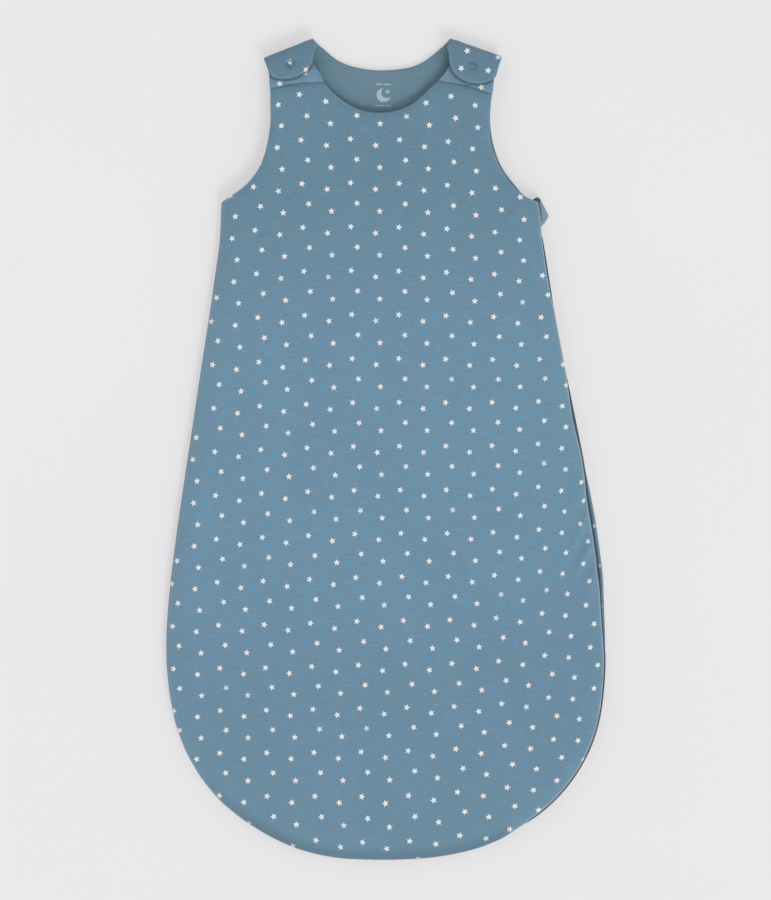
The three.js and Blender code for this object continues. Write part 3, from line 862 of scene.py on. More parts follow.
def front_heights(panel):
    """Heights of the front's outer face and of its lining, at every place of the panel."""
    p = panel.points
    side, gap = panel.distance("side"), panel.distance("zip")
    opening, yokes = panel.distance("opening"), panel.distance("yoke")
    crown = 2.4 * MM * (1 - np.exp(-np.minimum(side, gap) / 0.085)) * (1 - np.exp(-opening / 0.05))
    full = FRONT_TOP - 0.4 * MM + crown
    drops = together(
        (full - SEAM_Z) * roll_off(side, EDGE_ROLL), (full - 16.4 * MM) * roll_off(gap, 17 * MM),
        (full - 18.0 * MM) * roll_off(opening, OPEN_ROLL), (full - 19.7 * MM) * roll_off(yokes, YOKE_ROLL),
    )
    swell = 0.7 * MM * ripple(p, 0.105, 1.7) + 0.32 * MM * ripple(p, 0.038, 4.2)
    swell += 0.09 * MM * ripple(p, 0.014, 9.1)
    away = 1 - np.exp(-panel.distance(*ALL_EDGES) / 0.02)
    hem = -0.28 * MM * bell(np.minimum(opening, gap) - 4.2 * MM, 1.1 * MM)
    ripples = 0.55 * MM * gathers(panel, "side", 0.013, 0.010, 3.3)
    ripples += 0.7 * MM * gathers(panel, "zip", 0.011, 0.009, 8.8)
    ripples += 0.35 * MM * gathers(panel, "yoke_left", 0.005, 0.005, 5.1)
    ripples += 0.45 * MM * gathers(panel, "yoke_right", 0.006, 0.006, 2.4)
    creases = np.maximum(crease_height(p), (-0.4 - 3.0 * smoothstep(gap, 7 * MM, 15 * MM)) * MM)
    top = full - drops + swell * away + hem + ripples + creases
    under_drop = (FRONT_UNDER - SEAM_Z - 0.3 * MM) * roll_off(side, EDGE_ROLL)
    under_rise = together(2.1 * MM * roll_off(opening, OPEN_ROLL), 2.4 * MM * roll_off(yokes, YOKE_ROLL))
    under = FRONT_UNDER - under_drop + under_rise + 0.2 * MM * ripple(p, 0.05, 6.0) * away
    return np.maximum(top, under + 1.1 * MM), under


def back_heights(panel):
    """Heights of the back's outer face, which lies on the floor, and of its lining."""
    p = panel.points
    side, gap = panel.distance("side"), panel.distance("zip")
    opening, yokes = panel.distance("opening"), panel.distance("yoke")
    away = 1 - np.exp(-panel.distance(*ALL_EDGES) / 0.02)
    rise = together(
        (SEAM_Z - 0.4 * MM) * roll_off(side, BACK_ROLL), 6.4 * MM * roll_off(gap, 11 * MM),
        3.2 * MM * roll_off(opening, 9 * MM), 2.3 * MM * roll_off(yokes, YOKE_ROLL),
    )
    under = rise + 0.3 * MM * gathers(panel, "side", 0.013, 0.008, 7.7) * roll_off(side, BACK_ROLL)
    drop = together(2.6 * MM * roll_off(opening, OPEN_ROLL), 2.6 * MM * (1 - smoothstep(yokes, 0, 16 * MM)))
    lift = 2.2 * MM * roll_off(side, BACK_ROLL)
    swell = (0.4 * MM * ripple(p, 0.07, 2.9) + 0.2 * MM * ripple(p, 0.026, 6.6)) * away
    return under, np.maximum(BACK_INSIDE + lift - drop + swell, under + 0.9 * MM)


def edge_highlight_and_shade(panel):
    """How much paler or darker the cloth is painted at each place: painted highlights along the side above
    the foot, along the zip's edge and at the openings; painted shade along the foot's edge and below the yoke
    seams.
    """
    foot = smoothstep(-panel.points[:, 1], 0.33, 0.43)
    side = panel.distance("side")
    tone = 0.24 * (1 - foot) * np.exp(-side / (3.5 * MM)) - 0.44 * foot * bell(side, 10 * MM)
    tone += 0.95 * bell(panel.distance("zip"), 1.1 * MM)
    tone += 0.3 * np.exp(-panel.distance("opening") / (1.0 * MM))
    return tone - 0.14 * np.exp(-panel.distance("yoke") / (9 * MM))


def panel_sheet(name, panel, heights, folds=(), flip=False):
    """The panel's surface at those heights. Folds are rings beyond its edge: each gives, by the kind of
    edge, how far inside the outline the ring lies and how far above the edge, in millimetres."""
    vertices = np.column_stack([panel.points, heights])
    faces = list(panel.faces)
    uvs = print_uv(panel.points)
    last = np.arange(panel.count)
    for step, fold in enumerate(folds, 1):
        inset = panel.edge_values({kind: value[0] for kind, value in fold.items()}) * MM
        rise = panel.edge_values({kind: value[1] for kind, value in fold.items()}) * MM
        ring = np.column_stack([panel.loop + panel.inward * inset[:, None], heights[: panel.count] + rise])
        new = len(vertices) + np.arange(panel.count)
        last_after, new_after = np.roll(last, -1), np.roll(new, -1)
        vertices = np.vstack([vertices, ring])
        uvs = np.vstack([uvs, print_uv(panel.loop - panel.inward * 1.3 * MM * step)])
        faces += list(zip(last, new, new_after, last_after))
        last = new
    if flip:
        faces = [tuple(reversed(f)) for f in faces]
    piece = new_object(name, vertices, faces, uvs)
    # Painted highlights and painted shade along the panel's edges; the turned-in rings are painted a little
    # paler.
    wear_and_painted_light = edge_highlight_and_shade(panel)
    add_attribute(piece, "edge", np.concatenate([wear_and_painted_light, np.full(len(vertices) - len(wear_and_painted_light), 0.1)]))
    return piece


def panel_pad(name, panel, top, bottom):
    """A closed piece between two heights, with upright walls at its edge."""
    count, rim = len(panel.points), panel.count
    top = np.maximum(top, bottom + 0.15 * MM)
    vertices = np.vstack([np.column_stack([panel.points, top]), np.column_stack([panel.points, bottom])])
    faces = list(panel.faces) + [tuple(i + count for i in reversed(f)) for f in panel.faces]
    faces += [(i, i + count, (i + 1) % rim + count, (i + 1) % rim) for i in range(rim)]
    return new_object(name, vertices, faces, np.tile(print_uv(panel.points), (2, 1)))


# ---------------------------------------------------------------- lofts and turned pieces
def ring_faces(count, size, closed=True):
    """The faces between rings of that many points; closed rings are capped at both ends."""
    index = np.arange(count * size).reshape(count, size)
    following = np.roll(index, -1, 1) if closed else index[:, 1:]
    current = index if closed else index[:, :-1]
    faces = [
        (current[i, j], following[i, j], following[i + 1, j], current[i + 1, j])
        for i in range(count - 1) for j in range(following.shape[1])
    ]
    if closed:
        faces += [tuple(reversed(index[0])), tuple(index[-1])]
    return faces


def loft(name, rings, closed=True, uvs=None):
    """A surface through rings of points, an array by ring, place and (x, y, z)."""
    return new_object(name, rings.reshape(-1, 3), ring_faces(*rings.shape[:2], closed), uvs)


def strip_uvs(along, across):
    """Cloth coordinates for a loft: the length along it, and each place's distance across it."""
    return np.stack(np.broadcast_arrays(along[:, None], across[None, :]), 2).reshape(-1, 2)


def tube_rings(points, radius, sides=6, flat=1.0):
    """Rings round a path in space; flat squeezes them in z."""
    tangent = np.gradient(points, axis=0)
    tangent /= np.linalg.norm(tangent, axis=1)[:, None]
    side = np.cross(tangent, (0, 0, 1.0))
    weak = np.linalg.norm(side, axis=1) < 1e-3
    side[weak] = (1, 0, 0)
    side /= np.linalg.norm(side, axis=1)[:, None]
    up = np.cross(side, tangent)
    turn = np.linspace(0, FULL_TURN, sides, endpoint=False)[None, :, None]
    offsets = side[:, None] * np.cos(turn) + up[:, None] * np.sin(turn) * flat
    return points[:, None] + offsets * radius


def lathe(name, profile, centre, segments=40, closed=True):
    """A turned piece: a closed profile of (radius, height) in millimetres about a vertical axis."""
    profile = np.array(profile, float) * MM
    turn = np.linspace(0, FULL_TURN, segments, endpoint=False)
    rings = np.stack([
        centre[0] + np.cos(turn)[:, None] * profile[:, 0], centre[1] + np.sin(turn)[:, None] * profile[:, 0],
        np.broadcast_to(profile[:, 1], (segments, len(profile))),
    ], 2)
    index = np.arange(segments * len(profile)).reshape(segments, -1)
    after, across = np.roll(index, -1, 0), np.roll(index, -1, 1)
    both = np.roll(after, -1, 1)
    width = len(profile) if closed else len(profile) - 1
    faces = [
        (index[i, j], after[i, j], both[i, j], across[i, j]) for i in range(segments) for j in range(width)
    ]
    piece = new_object(name, rings.reshape(-1, 3), faces)
    fix_normals(piece, weld=0.001 * MM)
    return piece


def joined(name, shapes):
    """One object from several (vertices, faces)."""
    vertices, faces = [], []
    for points, polygons in shapes:
        start = sum(len(v) for v in vertices)
        vertices.append(points)
        faces += [tuple(i + start for i in polygon) for polygon in polygons]
    return new_object(name, np.vstack(vertices), faces)


STITCH_SECTIONS = [(-0.5, 0.45), (-0.38, 0.85), (0.0, 1.0), (0.38, 0.85), (0.5, 0.45)]  # along, and thickness


def stitch_shape(place, direction, length, radius):
    """One short stitch of thread, bowed up in the middle."""
    direction = np.array(direction) / np.linalg.norm(direction)
    bow = [(s, (0.25 - s * s) * radius * 2.2) for s, _ in STITCH_SECTIONS]
    points = np.array([place + direction * s * length + (0, 0, rise) for s, rise in bow])
    middle = points[:, None]
    thickness = np.array([share for _, share in STITCH_SECTIONS])[:, None, None]
    rings = middle + (tube_rings(points, radius) - middle) * thickness
    return rings.reshape(-1, 3), ring_faces(*rings.shape[:2])


STITCH_PITCH, STITCH_LENGTH, THREAD_RADIUS = 2.7 * MM, 1.7 * MM, 0.27 * MM


def stitch_row(name, path, heights):
    """A row of stitches along a flat path, at the heights given for its points."""
    reach = lengths_along(path)
    tangent = np.gradient(path, axis=0)
    shapes = []
    for s in np.arange(STITCH_PITCH, reach[-1] - STITCH_PITCH / 2, STITCH_PITCH):
        at = [np.interp(s, reach, path[:, k]) for k in (0, 1)] + [np.interp(s, reach, heights)]
        way = [np.interp(s, reach, tangent[:, k]) for k in (0, 1)] + [0.0]
        shapes.append(stitch_shape(np.array(at), way, STITCH_LENGTH, THREAD_RADIUS))
    return joined(name, shapes)


# ---------------------------------------------------------------- front and back
def over_fold(piece):
    """Bake the piece's placement into its mesh."""
    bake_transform(piece)
    return piece


JERSEY_THICK, LINING_THICK = 0.8 * MM, 0.7 * MM
LINING_BACK = {"zip_back": 8.5 * MM, "set_back": 0.5 * MM}  # how far inside the outline each layer ends
FILLING_BACK = {"zip_back": 10 * MM, "set_back": 3 * MM}
# The rings of cloth turned in at the edges, in millimetres: how far inside the outline, and how far above.
FRONT_FOLDS = [
    {"zip": (0.5, -1.0), "opening": (0.3, -0.7), "yoke": (0.3, -0.6), "side": (0.3, -0.3)},
    {"zip": (1.6, -1.6), "opening": (1.2, -1.1), "yoke": (1.5, -1.0), "side": (1.5, -0.5)},
    {"zip": (5.0, -1.6), "opening": (3.0, -1.1), "yoke": (3.0, -1.0), "side": (3.0, -0.5)},
]
BACK_FOLDS = [
    {"zip": (0.5, 0.8), "opening": (0.3, 0.6), "yoke": (0.3, 0.6), "side": (0.3, 0.3)},
    {"zip": (1.6, 1.2), "opening": (1.2, 0.9), "yoke": (1.5, 0.9), "side": (1.5, 0.4)},
    {"zip": (4.5, 0.4), "opening": (3.0, 0.9), "yoke": (3.0, 0.9), "side": (3.0, 0.4)},
]
FILLING_PINCH = (3.4 * MM, 27 * MM)  # how much the front's filling thins under its fold line, and how far off


def make_front():
    outline = front_outline()
    panel = Panel(stretches_of(outline, FRONT_EDGE), 3.7 * MM)
    top, _ = front_heights(panel)
    cloth = thicken(panel_sheet("front_cloth", panel, top, FRONT_FOLDS), JERSEY_THICK)
    nodes = ("front_outer", "flap_outer")
    finish_piece(over_fold(cloth), LOOKS["print"], stands_for=nodes)
    outer, outer_top = panel, top

    panel = Panel(stretches_of(outline, **LINING_BACK), 6.5 * MM)
    _, under = front_heights(panel)
    lining = thicken(panel_sheet("front_lining_cloth", panel, under, flip=True), LINING_THICK)
    nodes = ("front_lining", "flap_lining")
    finish_piece(over_fold(lining), LOOKS["lining"], stands_for=nodes)

    panel = Panel(stretches_of(outline, **FILLING_BACK), 7.5 * MM)
    top, under = front_heights(panel)
    deepest, width = FILLING_PINCH
    pinch = deepest * bell(panel.points[:, 0] - (FOLD_X + FOLD_START + FOLD_END), width)
    bottom = np.minimum(under + 1.9 * MM + pinch, top - 2.7 * MM)
    filling = panel_pad("front_filling", panel, top - 1.5 * MM, bottom)
    nodes = ("front_wadding", "flap_wadding")
    finish_piece(over_fold(filling), LOOKS["wadding"], stands_for=nodes)
    return outer, outer_top


def make_back():
    outline = cap_outline("back_outer")
    panel = Panel(stretches_of(outline, BACK_EDGE), 5 * MM)
    under, _ = back_heights(panel)
    cloth = thicken(panel_sheet("back_cloth", panel, under, BACK_FOLDS, flip=True), JERSEY_THICK)
    finish_piece(cloth, LOOKS["print"], "root", ("back_outer",))

    panel = Panel(stretches_of(outline, **LINING_BACK), 5 * MM)
    _, top = back_heights(panel)
    lining = thicken(panel_sheet("back_lining_cloth", panel, top), LINING_THICK)
    finish_piece(lining, LOOKS["neck_lining"], "root", ("back_lining",))

    panel = Panel(stretches_of(outline, **FILLING_BACK), 7.5 * MM)
    under, top = back_heights(panel)
    filling = panel_pad("back_filling", panel, top - 1.1 * MM, under + 1.2 * MM)
    finish_piece(filling, LOOKS["wadding"], "root", ("back_wadding",))


WELT_RADIUS, WELT_FLATNESS = 0.75 * MM, 1.5


def make_side_seam():
    """The seam's welt, which rises and falls a little between its stitches."""
    path = stretches_of(cap_outline("back_outer"))["side"]
    path = shifted(path, 0.45 * MM)
    along = lengths_along(path)
    points = np.column_stack([path, SEAM_Z - 0.1 * MM + 0.12 * MM * np.sin(along / (1.35 * MM))])
    rings = tube_rings(points, WELT_RADIUS, 8, flat=WELT_FLATNESS)
    around = np.linspace(0, FULL_TURN * 0.8 * MM, 8, endpoint=False)
    welt = loft("side_seam_welt", rings, uvs=strip_uvs(along, around))
    finish_piece(welt, LOOKS["plain"], "root", ("side_seam",))


# ---------------------------------------------------------------- zip
def zip_path(start_below_top):
    """The zip's line seen from above: from its foot up to that distance below its top."""
    path = stretches_of(cap_outline("back_outer"), COIL_MIDDLE)["zip"]
    reach = lengths_along(path)
    kept = reach <= reach[-1] - start_below_top
    return smooth_path(resample(path[kept], 2 * MM), 8)


TAPE_START, TAPE_THICK = 3 * MM, 0.6 * MM
FRONT_TAPE = [(0.1, 13.0), (0.4, 13.9), (1.6, 14.2), (4.5, 13.9), (8.0, 13.5), (11.0, 13.4)]
BACK_TAPE = [(0.1, 9.0), (0.4, 8.3), (1.6, 8.1), (4.5, 8.2), (8.0, 8.4), (11.0, 8.5)]


def zip_tape(name, section):
    """A tape: its section's places are how far inside the coil's line each lies, and at what height."""
    path = zip_path(TAPE_START)
    rings = np.stack([
        np.column_stack([shifted(path, across * MM), np.full(len(path), z * MM)]) for across, z in section
    ], 1)
    uvs = strip_uvs(lengths_along(path), lengths_along(np.array(section) * MM))[:, ::-1]
    return thicken(loft(name, rings, closed=False, uvs=uvs), TAPE_THICK, 0)


COIL_PITCH = 1.5 * MM
COIL_HALF = (0.9 * MM, 1.5 * MM)  # half its width and half its height
COIL_WIRE = 0.3 * MM
# How far below the zip's top each coil starts, its height, and where its first turn begins.
FRONT_COIL = (14 * MM, 12.2 * MM, 0.0)
BACK_COIL = (4 * MM, 9.9 * MM, math.pi)


def zip_coil(name, start_below_top, middle_z, phase):
    """A moulded coil: a wire wound along the edge of its tape."""
    path = zip_path(start_below_top)
    reach = lengths_along(path)
    turns = int(reach[-1] / COIL_PITCH)
    s = np.linspace(0, reach[-1], turns * 10 + 1)
    inward = left_normals(path)
    flat = np.stack([np.interp(s, reach, path[:, k]) for k in (0, 1)], 1)
    normal = np.stack([np.interp(s, reach, inward[:, k]) for k in (0, 1)], 1)
    turn = FULL_TURN * s / COIL_PITCH + phase
    flat = flat + normal * (COIL_HALF[0] * np.cos(turn))[:, None]
    points = np.column_stack([flat, middle_z + COIL_HALF[1] * np.sin(turn)])
    return loft(name, tube_rings(points, COIL_WIRE, 5))


def make_zip():
    front = zip_tape("zip_tape_front_cloth", FRONT_TAPE)
    finish_piece(over_fold(front), LOOKS["tape"], stands_for=("zip_tape_front",))
    back = zip_tape("zip_tape_back_cloth", BACK_TAPE)
    finish_piece(back, LOOKS["tape"], "root", ("zip_tape_back",))
    upper = zip_coil("zip_coil_front_wire", *FRONT_COIL)
    finish_piece(over_fold(upper), LOOKS["coil"], stands_for=("zip_coil_front",))
    lower = zip_coil("zip_coil_back_wire", *BACK_COIL)
    finish_piece(lower, LOOKS["coil"], "root", ("zip_coil_back",))
    for name in ("zip_slider", "zip_pull", "zip_top_stop_front", "zip_top_stop_back", "zip_bottom_stop"):
        node = frame["nodes"][name]
        node.material_slots[0].material = LOOKS["slider"]
        bevel = node.modifiers.new("softened edges", "BEVEL")
        bevel.width, bevel.segments = 0.22 * MM, 2
        bevel.limit_method = "ANGLE"


GARAGE_RIDGE = [(240, 168.2), (250, 170.4), (262, 170.0), (277, 167.0)]  # the fold: y and x, in millimetres
TAPE_END = [  # the turned-in end's outline: x and y, in millimetres
    (160.6, 270.6), (169.5, 270.6), (169.6, 272.4), (168.7, 274.0), (167.0, 275.2), (164.4, 275.1),
    (162.3, 274.1), (160.9, 272.4),
]


def make_garage():
    """A folded tab of the outer cloth, sewn outside the zip's top end, with the tape's end turned into it."""
    loop = cap_outline("zip_garage")
    path = smooth_path(resample(np.vstack([loop, loop[:1]]), 1.0 * MM), 2)
    panel = Panel({"edge": path}, 0.9 * MM, (0.4, 0.9, 1.6))
    ridge_y, ridge_x = np.array(GARAGE_RIDGE).T * MM
    off = panel.points[:, 0] - np.interp(panel.points[:, 1], ridge_y, ridge_x)
    fall = np.where(off < 0, 1.1 * -off, 0.30 * off)
    rim = 1 - roll_off(panel.distance("edge"), 1.4 * MM)
    middle = sum(corner.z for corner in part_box("zip_garage")) / 2 + 4.6 * MM
    top = middle + 1.7 * MM * rim - np.minimum(fall, 4.0 * MM)
    tab = panel_pad("zip_garage_tab", panel, top, middle - 6.6 * MM + 1.4 * MM * (1 - rim))
    finish_piece(tab, LOOKS["garage"], "root", ("zip_garage",))

    loop = np.array(TAPE_END + TAPE_END[:1]) * MM
    panel = Panel({"edge": smooth_path(resample(loop, 0.7 * MM), 1)}, 0.9 * MM, (0.4, 0.9))
    rim = 1 - roll_off(panel.distance("edge"), 1.0 * MM)
    end = panel_pad("zip_tape_end", panel, 9.6 * MM + 1.6 * MM * rim, np.full(len(rim), 8.4 * MM))
    finish_piece(end, LOOKS["tape"], "root")


GUARD_SPAN = (9.3, 26.7)  # millimetres inside the bag's edge
GUARD_Z = 8.75 * MM


def make_guard():
    """The strip of lining behind the zip."""
    low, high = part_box("zip_guard")
    path = stretches_of(cap_outline("back_outer"))["zip"]
    path = path[(path[:, 1] > low.y + 2 * MM) & (path[:, 1] < high.y - 2 * MM)]
    along = lengths_along(path)
    start, end = GUARD_SPAN
    rings = []
    for across in np.linspace(start, end, 9):
        wave = 0.25 * MM * np.array([noise.noise((s / 0.03, across / 9, 2.0)) for s in along])
        hem = 0.25 * MM if across < start + 1.2 or across > end - 1.2 else 0.0
        rings.append(np.column_stack([shifted(path, across * MM), GUARD_Z + wave + hem]))
    uvs = strip_uvs(along, np.linspace(0, (end - start) * MM, 9))
    guard = thicken(loft("zip_guard_strip", np.stack(rings, 1), closed=False, uvs=uvs), LINING_THICK, 0)
    finish_piece(guard, LOOKS["lining"], "root", ("zip_guard",))


def make_label():
    """A folded satin label, sewn at one end to the lining."""
    low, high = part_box("care_label")
    xs, ys = np.linspace(low.x, high.x, 16), np.linspace(low.y, high.y, 24)
    share = (ys - low.y) / (high.y - low.y)
    lift = 0.25 * MM + 1.6 * MM * share**2 + 0.3 * MM * np.sin(share * 7)
    rings = np.array([[(x, y, low.z + h + 0.15 * MM) for x in xs] for y, h in zip(ys, lift)])
    uvs = np.array([[(x - low.x, y - low.y) for x in xs] for y in ys]).reshape(-1, 2)
    label = thicken(loft("care_label_satin", rings, closed=False, uvs=uvs), 0.25 * MM, 0)
    finish_piece(label, LOOKS["label"], "root", ("care_label",))


# ---------------------------------------------------------------- shoulders
BEND_SQUARENESS = 2.7  # 2 is a round bend over the shoulder, more is a flatter and tighter one


class Shoulder:
    """Places on one shoulder: u along the fold line towards the neck, v inwards from the fold line."""

    def __init__(self, side):
        self.side, self.body = side, f"tab_{side}"
        self.hinge = Vector(JOINTS[f"tab_{side}_open"]["pos_m"])
        axis = np.array(JOINTS[f"tab_{side}_open"]["axis"][:2])
        self.across = -axis if axis[0] * self.hinge.x > 0 else axis
        self.inward = np.array([self.across[1], -self.across[0]])
        if self.inward[1] > 0:
            self.inward = -self.inward
        mesh = frame["nodes"][f"shoulder_fold_{side}"].data
        points = np.array([tuple(v.co) for v in mesh.vertices])
        self.origin = np.zeros(2)
        local = self.local(points[:, :2])
        self.origin = self.across * local[:, 0].min() + self.inward * local[:, 1].min()
        self.width = np.ptp(local[:, 0])
        self.depth = np.ptp(local[:, 1])  # from the fold line to the end of the bend
        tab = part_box(f"shoulder_tab_{side}")
        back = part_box(f"back_strap_{side}")
        self.top_z, self.low_z = (tab[0].z + tab[1].z) / 2, (back[0].z + back[1].z) / 2
        self.section = self.bend_section()
        self.arc = self.section[-1, 0]

    def bend_section(self):
        """The bend's middle layer, from the back up to the tab: length along it, v and z."""
        half = (self.top_z - self.low_z) / 2
        reach = self.depth - 1.25 * MM
        turn = np.linspace(-math.pi / 2, math.pi / 2, 61)
        squarer = 2 / BEND_SQUARENESS
        v = self.depth - reach * np.abs(np.cos(turn)) ** squarer
        z = (self.top_z + self.low_z) / 2 + half * np.sign(np.sin(turn)) * np.abs(np.sin(turn)) ** squarer
        reach = lengths_along(np.stack([v, z], 1))
        return np.stack([reach, v, z], 1)

    def local(self, points):
        return (np.asarray(points) - self.origin) @ np.stack([self.across, self.inward], 1)

    def place(self, u, v):
        return self.origin + np.multiply.outer(u, self.across) + np.multiply.outer(v, self.inward)

    def flat(self, x, y):
        """Where a place of the tab or of the bend, seen from above, lies on the flat strip."""
        u, v = self.local((x, y))
        if v >= self.depth:
            return u, self.arc + v - self.depth
        upper = self.section[len(self.section) // 2:]
        return u, np.interp(v, upper[:, 1], upper[:, 0])

    def surface(self, u, s, height):
        """The strip's place in space, from its flat place and a height above its middle layer."""
        reach, section_v, section_z = self.section.T
        within = np.clip(s, 0, self.arc)
        v = np.interp(within, reach, section_v) - np.minimum(s, 0) + np.maximum(s - self.arc, 0)
        z = np.interp(within, reach, section_z)
        slope_v = np.interp(within, reach, np.gradient(section_v, reach))
        slope_z = np.interp(within, reach, np.gradient(section_z, reach))
        steep = np.hypot(slope_v, slope_z)
        v = v - height * slope_z / steep
        z = z + height * slope_v / steep
        flat = self.origin + u[..., None] * self.across + v[..., None] * self.inward
        return np.concatenate([flat, z[..., None]], -1)


def span_at(loop, v):
    """The lowest and highest u of an outline at that v."""
    a, b = loop, np.roll(loop, -1, 0)
    low, high = np.minimum(a[:, 1], b[:, 1]), np.maximum(a[:, 1], b[:, 1])
    crossed = (low <= v) & (high >= v) & (high > low)
    share = (v - a[crossed, 1]) / (b[crossed, 1] - a[crossed, 1])
    u = a[crossed, 0] + share * (b[crossed, 0] - a[crossed, 0])
    return u.min(), u.max()


TAB_FULLNESS = 0.9 * MM  # how much the padded tab stands out round its sewn outline
ARM_FULLNESS = 1.3 * MM  # and how much more on the armhole's side
ARM_HOLLOW = 2.2 * MM  # how far the back strap's armhole edge curves in


def strip_rows(shoulder):
    """The flat strip's rows, each by its two ends, from the back yoke seam over the bend to the tab's round
    end; and the tab's length."""
    foot = shoulder.local(cap_outline(f"back_strap_{shoulder.side}"))
    foot = foot[foot[:, 1] > shoulder.depth + 2 * MM]
    arm, neck = foot[np.argmin(foot[:, 0])], foot[np.argmax(foot[:, 0])]
    under_seam = 3 * MM
    rows = []
    for share in np.linspace(0, 1, 9)[:-1]:
        ends = []
        for corner, fold_u in ((arm, 0.0), (neck, shoulder.width)):
            start = corner[1] + under_seam
            v = start + (shoulder.depth - start) * share
            hollow = ARM_HOLLOW * math.sin(math.pi * min(v / corner[1], 1)) if fold_u == 0 else 0
            ends.append((fold_u + (corner[0] - fold_u) * v / corner[1] + hollow, shoulder.depth - v))
        rows.append(ends)
    reach, section_v, _ = shoulder.section.T
    fold_v = section_v.min()
    for s in np.linspace(0, shoulder.arc, 26):
        v = np.interp(s, reach, section_v) - fold_v
        lower = s < shoulder.arc / 2
        low = arm[0] * v / arm[1] + ARM_HOLLOW * math.sin(math.pi * v / arm[1]) if lower else 0.0
        high = shoulder.width + ((neck[0] - shoulder.width) * v / neck[1] if lower else -v * 0.03)
        rows.append([(low, s), (high, s)])
    tab = shoulder.local(cap_outline(f"shoulder_tab_{shoulder.side}"))
    first, last = tab[:, 1].min(), tab[:, 1].max()
    for turn in np.linspace(0, math.pi / 2, 27)[1:]:
        share = math.sin(turn)
        low, high = span_at(tab, first + (last - first) * (0.002 + 0.9975 * share))
        fuller = TAB_FULLNESS * smoothstep(share, 0.1, 0.7)
        arm_side = ARM_FULLNESS * math.sin(math.pi * share)
        s = shoulder.arc + first - shoulder.depth + (last + TAB_FULLNESS - first) * share
        rows.append([(low - fuller - arm_side, s), (high + fuller * 0.5, s)])
    return np.array(rows), last + TAB_FULLNESS - shoulder.depth


def tab_outline(shoulder):
    """The padded tab's outline seen from above, from the bend round its end and back."""
    rows, _ = strip_rows(shoulder)
    rows = rows[rows[:, 0, 1] > shoulder.arc + 0.1 * MM]
    path = np.vstack([rows[:, 0], rows[::-1, 1]])
    return shoulder.place(path[:, 0], path[:, 1] - shoulder.arc + shoulder.depth)


TAB_LIP = 2.3 * MM  # how far the tab's sewn edge turns down


def strip_relief(shoulder, u, s, distance):
    """How far the strip's outer and inner faces stand off its middle layer, at each flat place."""
    puff = 1 - roll_off(distance, 2.0 * MM)
    ridge = 0.3 * MM * bell(distance - 2.2 * MM, 1.2 * MM)
    dip = 0.22 * MM * bell(distance - 4.6 * MM, 0.8 * MM)
    crown = 0.5 * MM * smoothstep(distance, 0, 9 * MM)
    seed = 3.0 + shoulder.width
    wrinkle = np.array([noise.noise((a / 0.011, b / 0.016, seed)) for a, b in zip(u.ravel(), s.ravel())])
    wrinkle = 0.4 * MM * wrinkle.reshape(u.shape) * smoothstep(distance, 0, 5 * MM)
    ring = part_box(f"snap_ring_{shoulder.side}")
    snap = shoulder.flat((ring[0].x + ring[1].x) / 2, (ring[0].y + ring[1].y) / 2)
    pressed = smoothstep(-np.hypot(u - snap[0], s - snap[1]), -8.5 * MM, -4.5 * MM)
    outer = puff * (1.3 * MM + ridge - dip + crown) + wrinkle * (1 - pressed)
    return outer * (1 - pressed) + 1.25 * MM * pressed, -puff * 1.15 * MM


def strip_faces(count, width):
    """The strip's outer and inner faces, and which of the outer face's points the inner face shares: all the
    edge's but the first row's. The inner face's other points are numbered after the outer's."""
    top = np.arange(count * width).reshape(count, width)
    shared = np.zeros((count, width), bool)
    shared[:, 0] = shared[:, -1] = shared[-1] = True
    bottom = np.where(shared, top, 0)
    bottom[~shared] = top.size + np.arange((~shared).sum())
    outer, inner = [], []
    for i in range(count - 1):
        for j in range(width - 1):
            outer.append((top[i, j], top[i, j + 1], top[i + 1, j + 1], top[i + 1, j]))
            inner.append((bottom[i, j], bottom[i + 1, j], bottom[i + 1, j + 1], bottom[i, j + 1]))
    inner += [(top[0, j], bottom[0, j], bottom[0, j + 1], top[0, j + 1]) for j in range(1, width - 2)]
    inner += [(top[0, 0], bottom[0, 1], top[0, 1]), (top[0, -1], top[0, -2], bottom[0, -2])]
    return outer, inner, shared


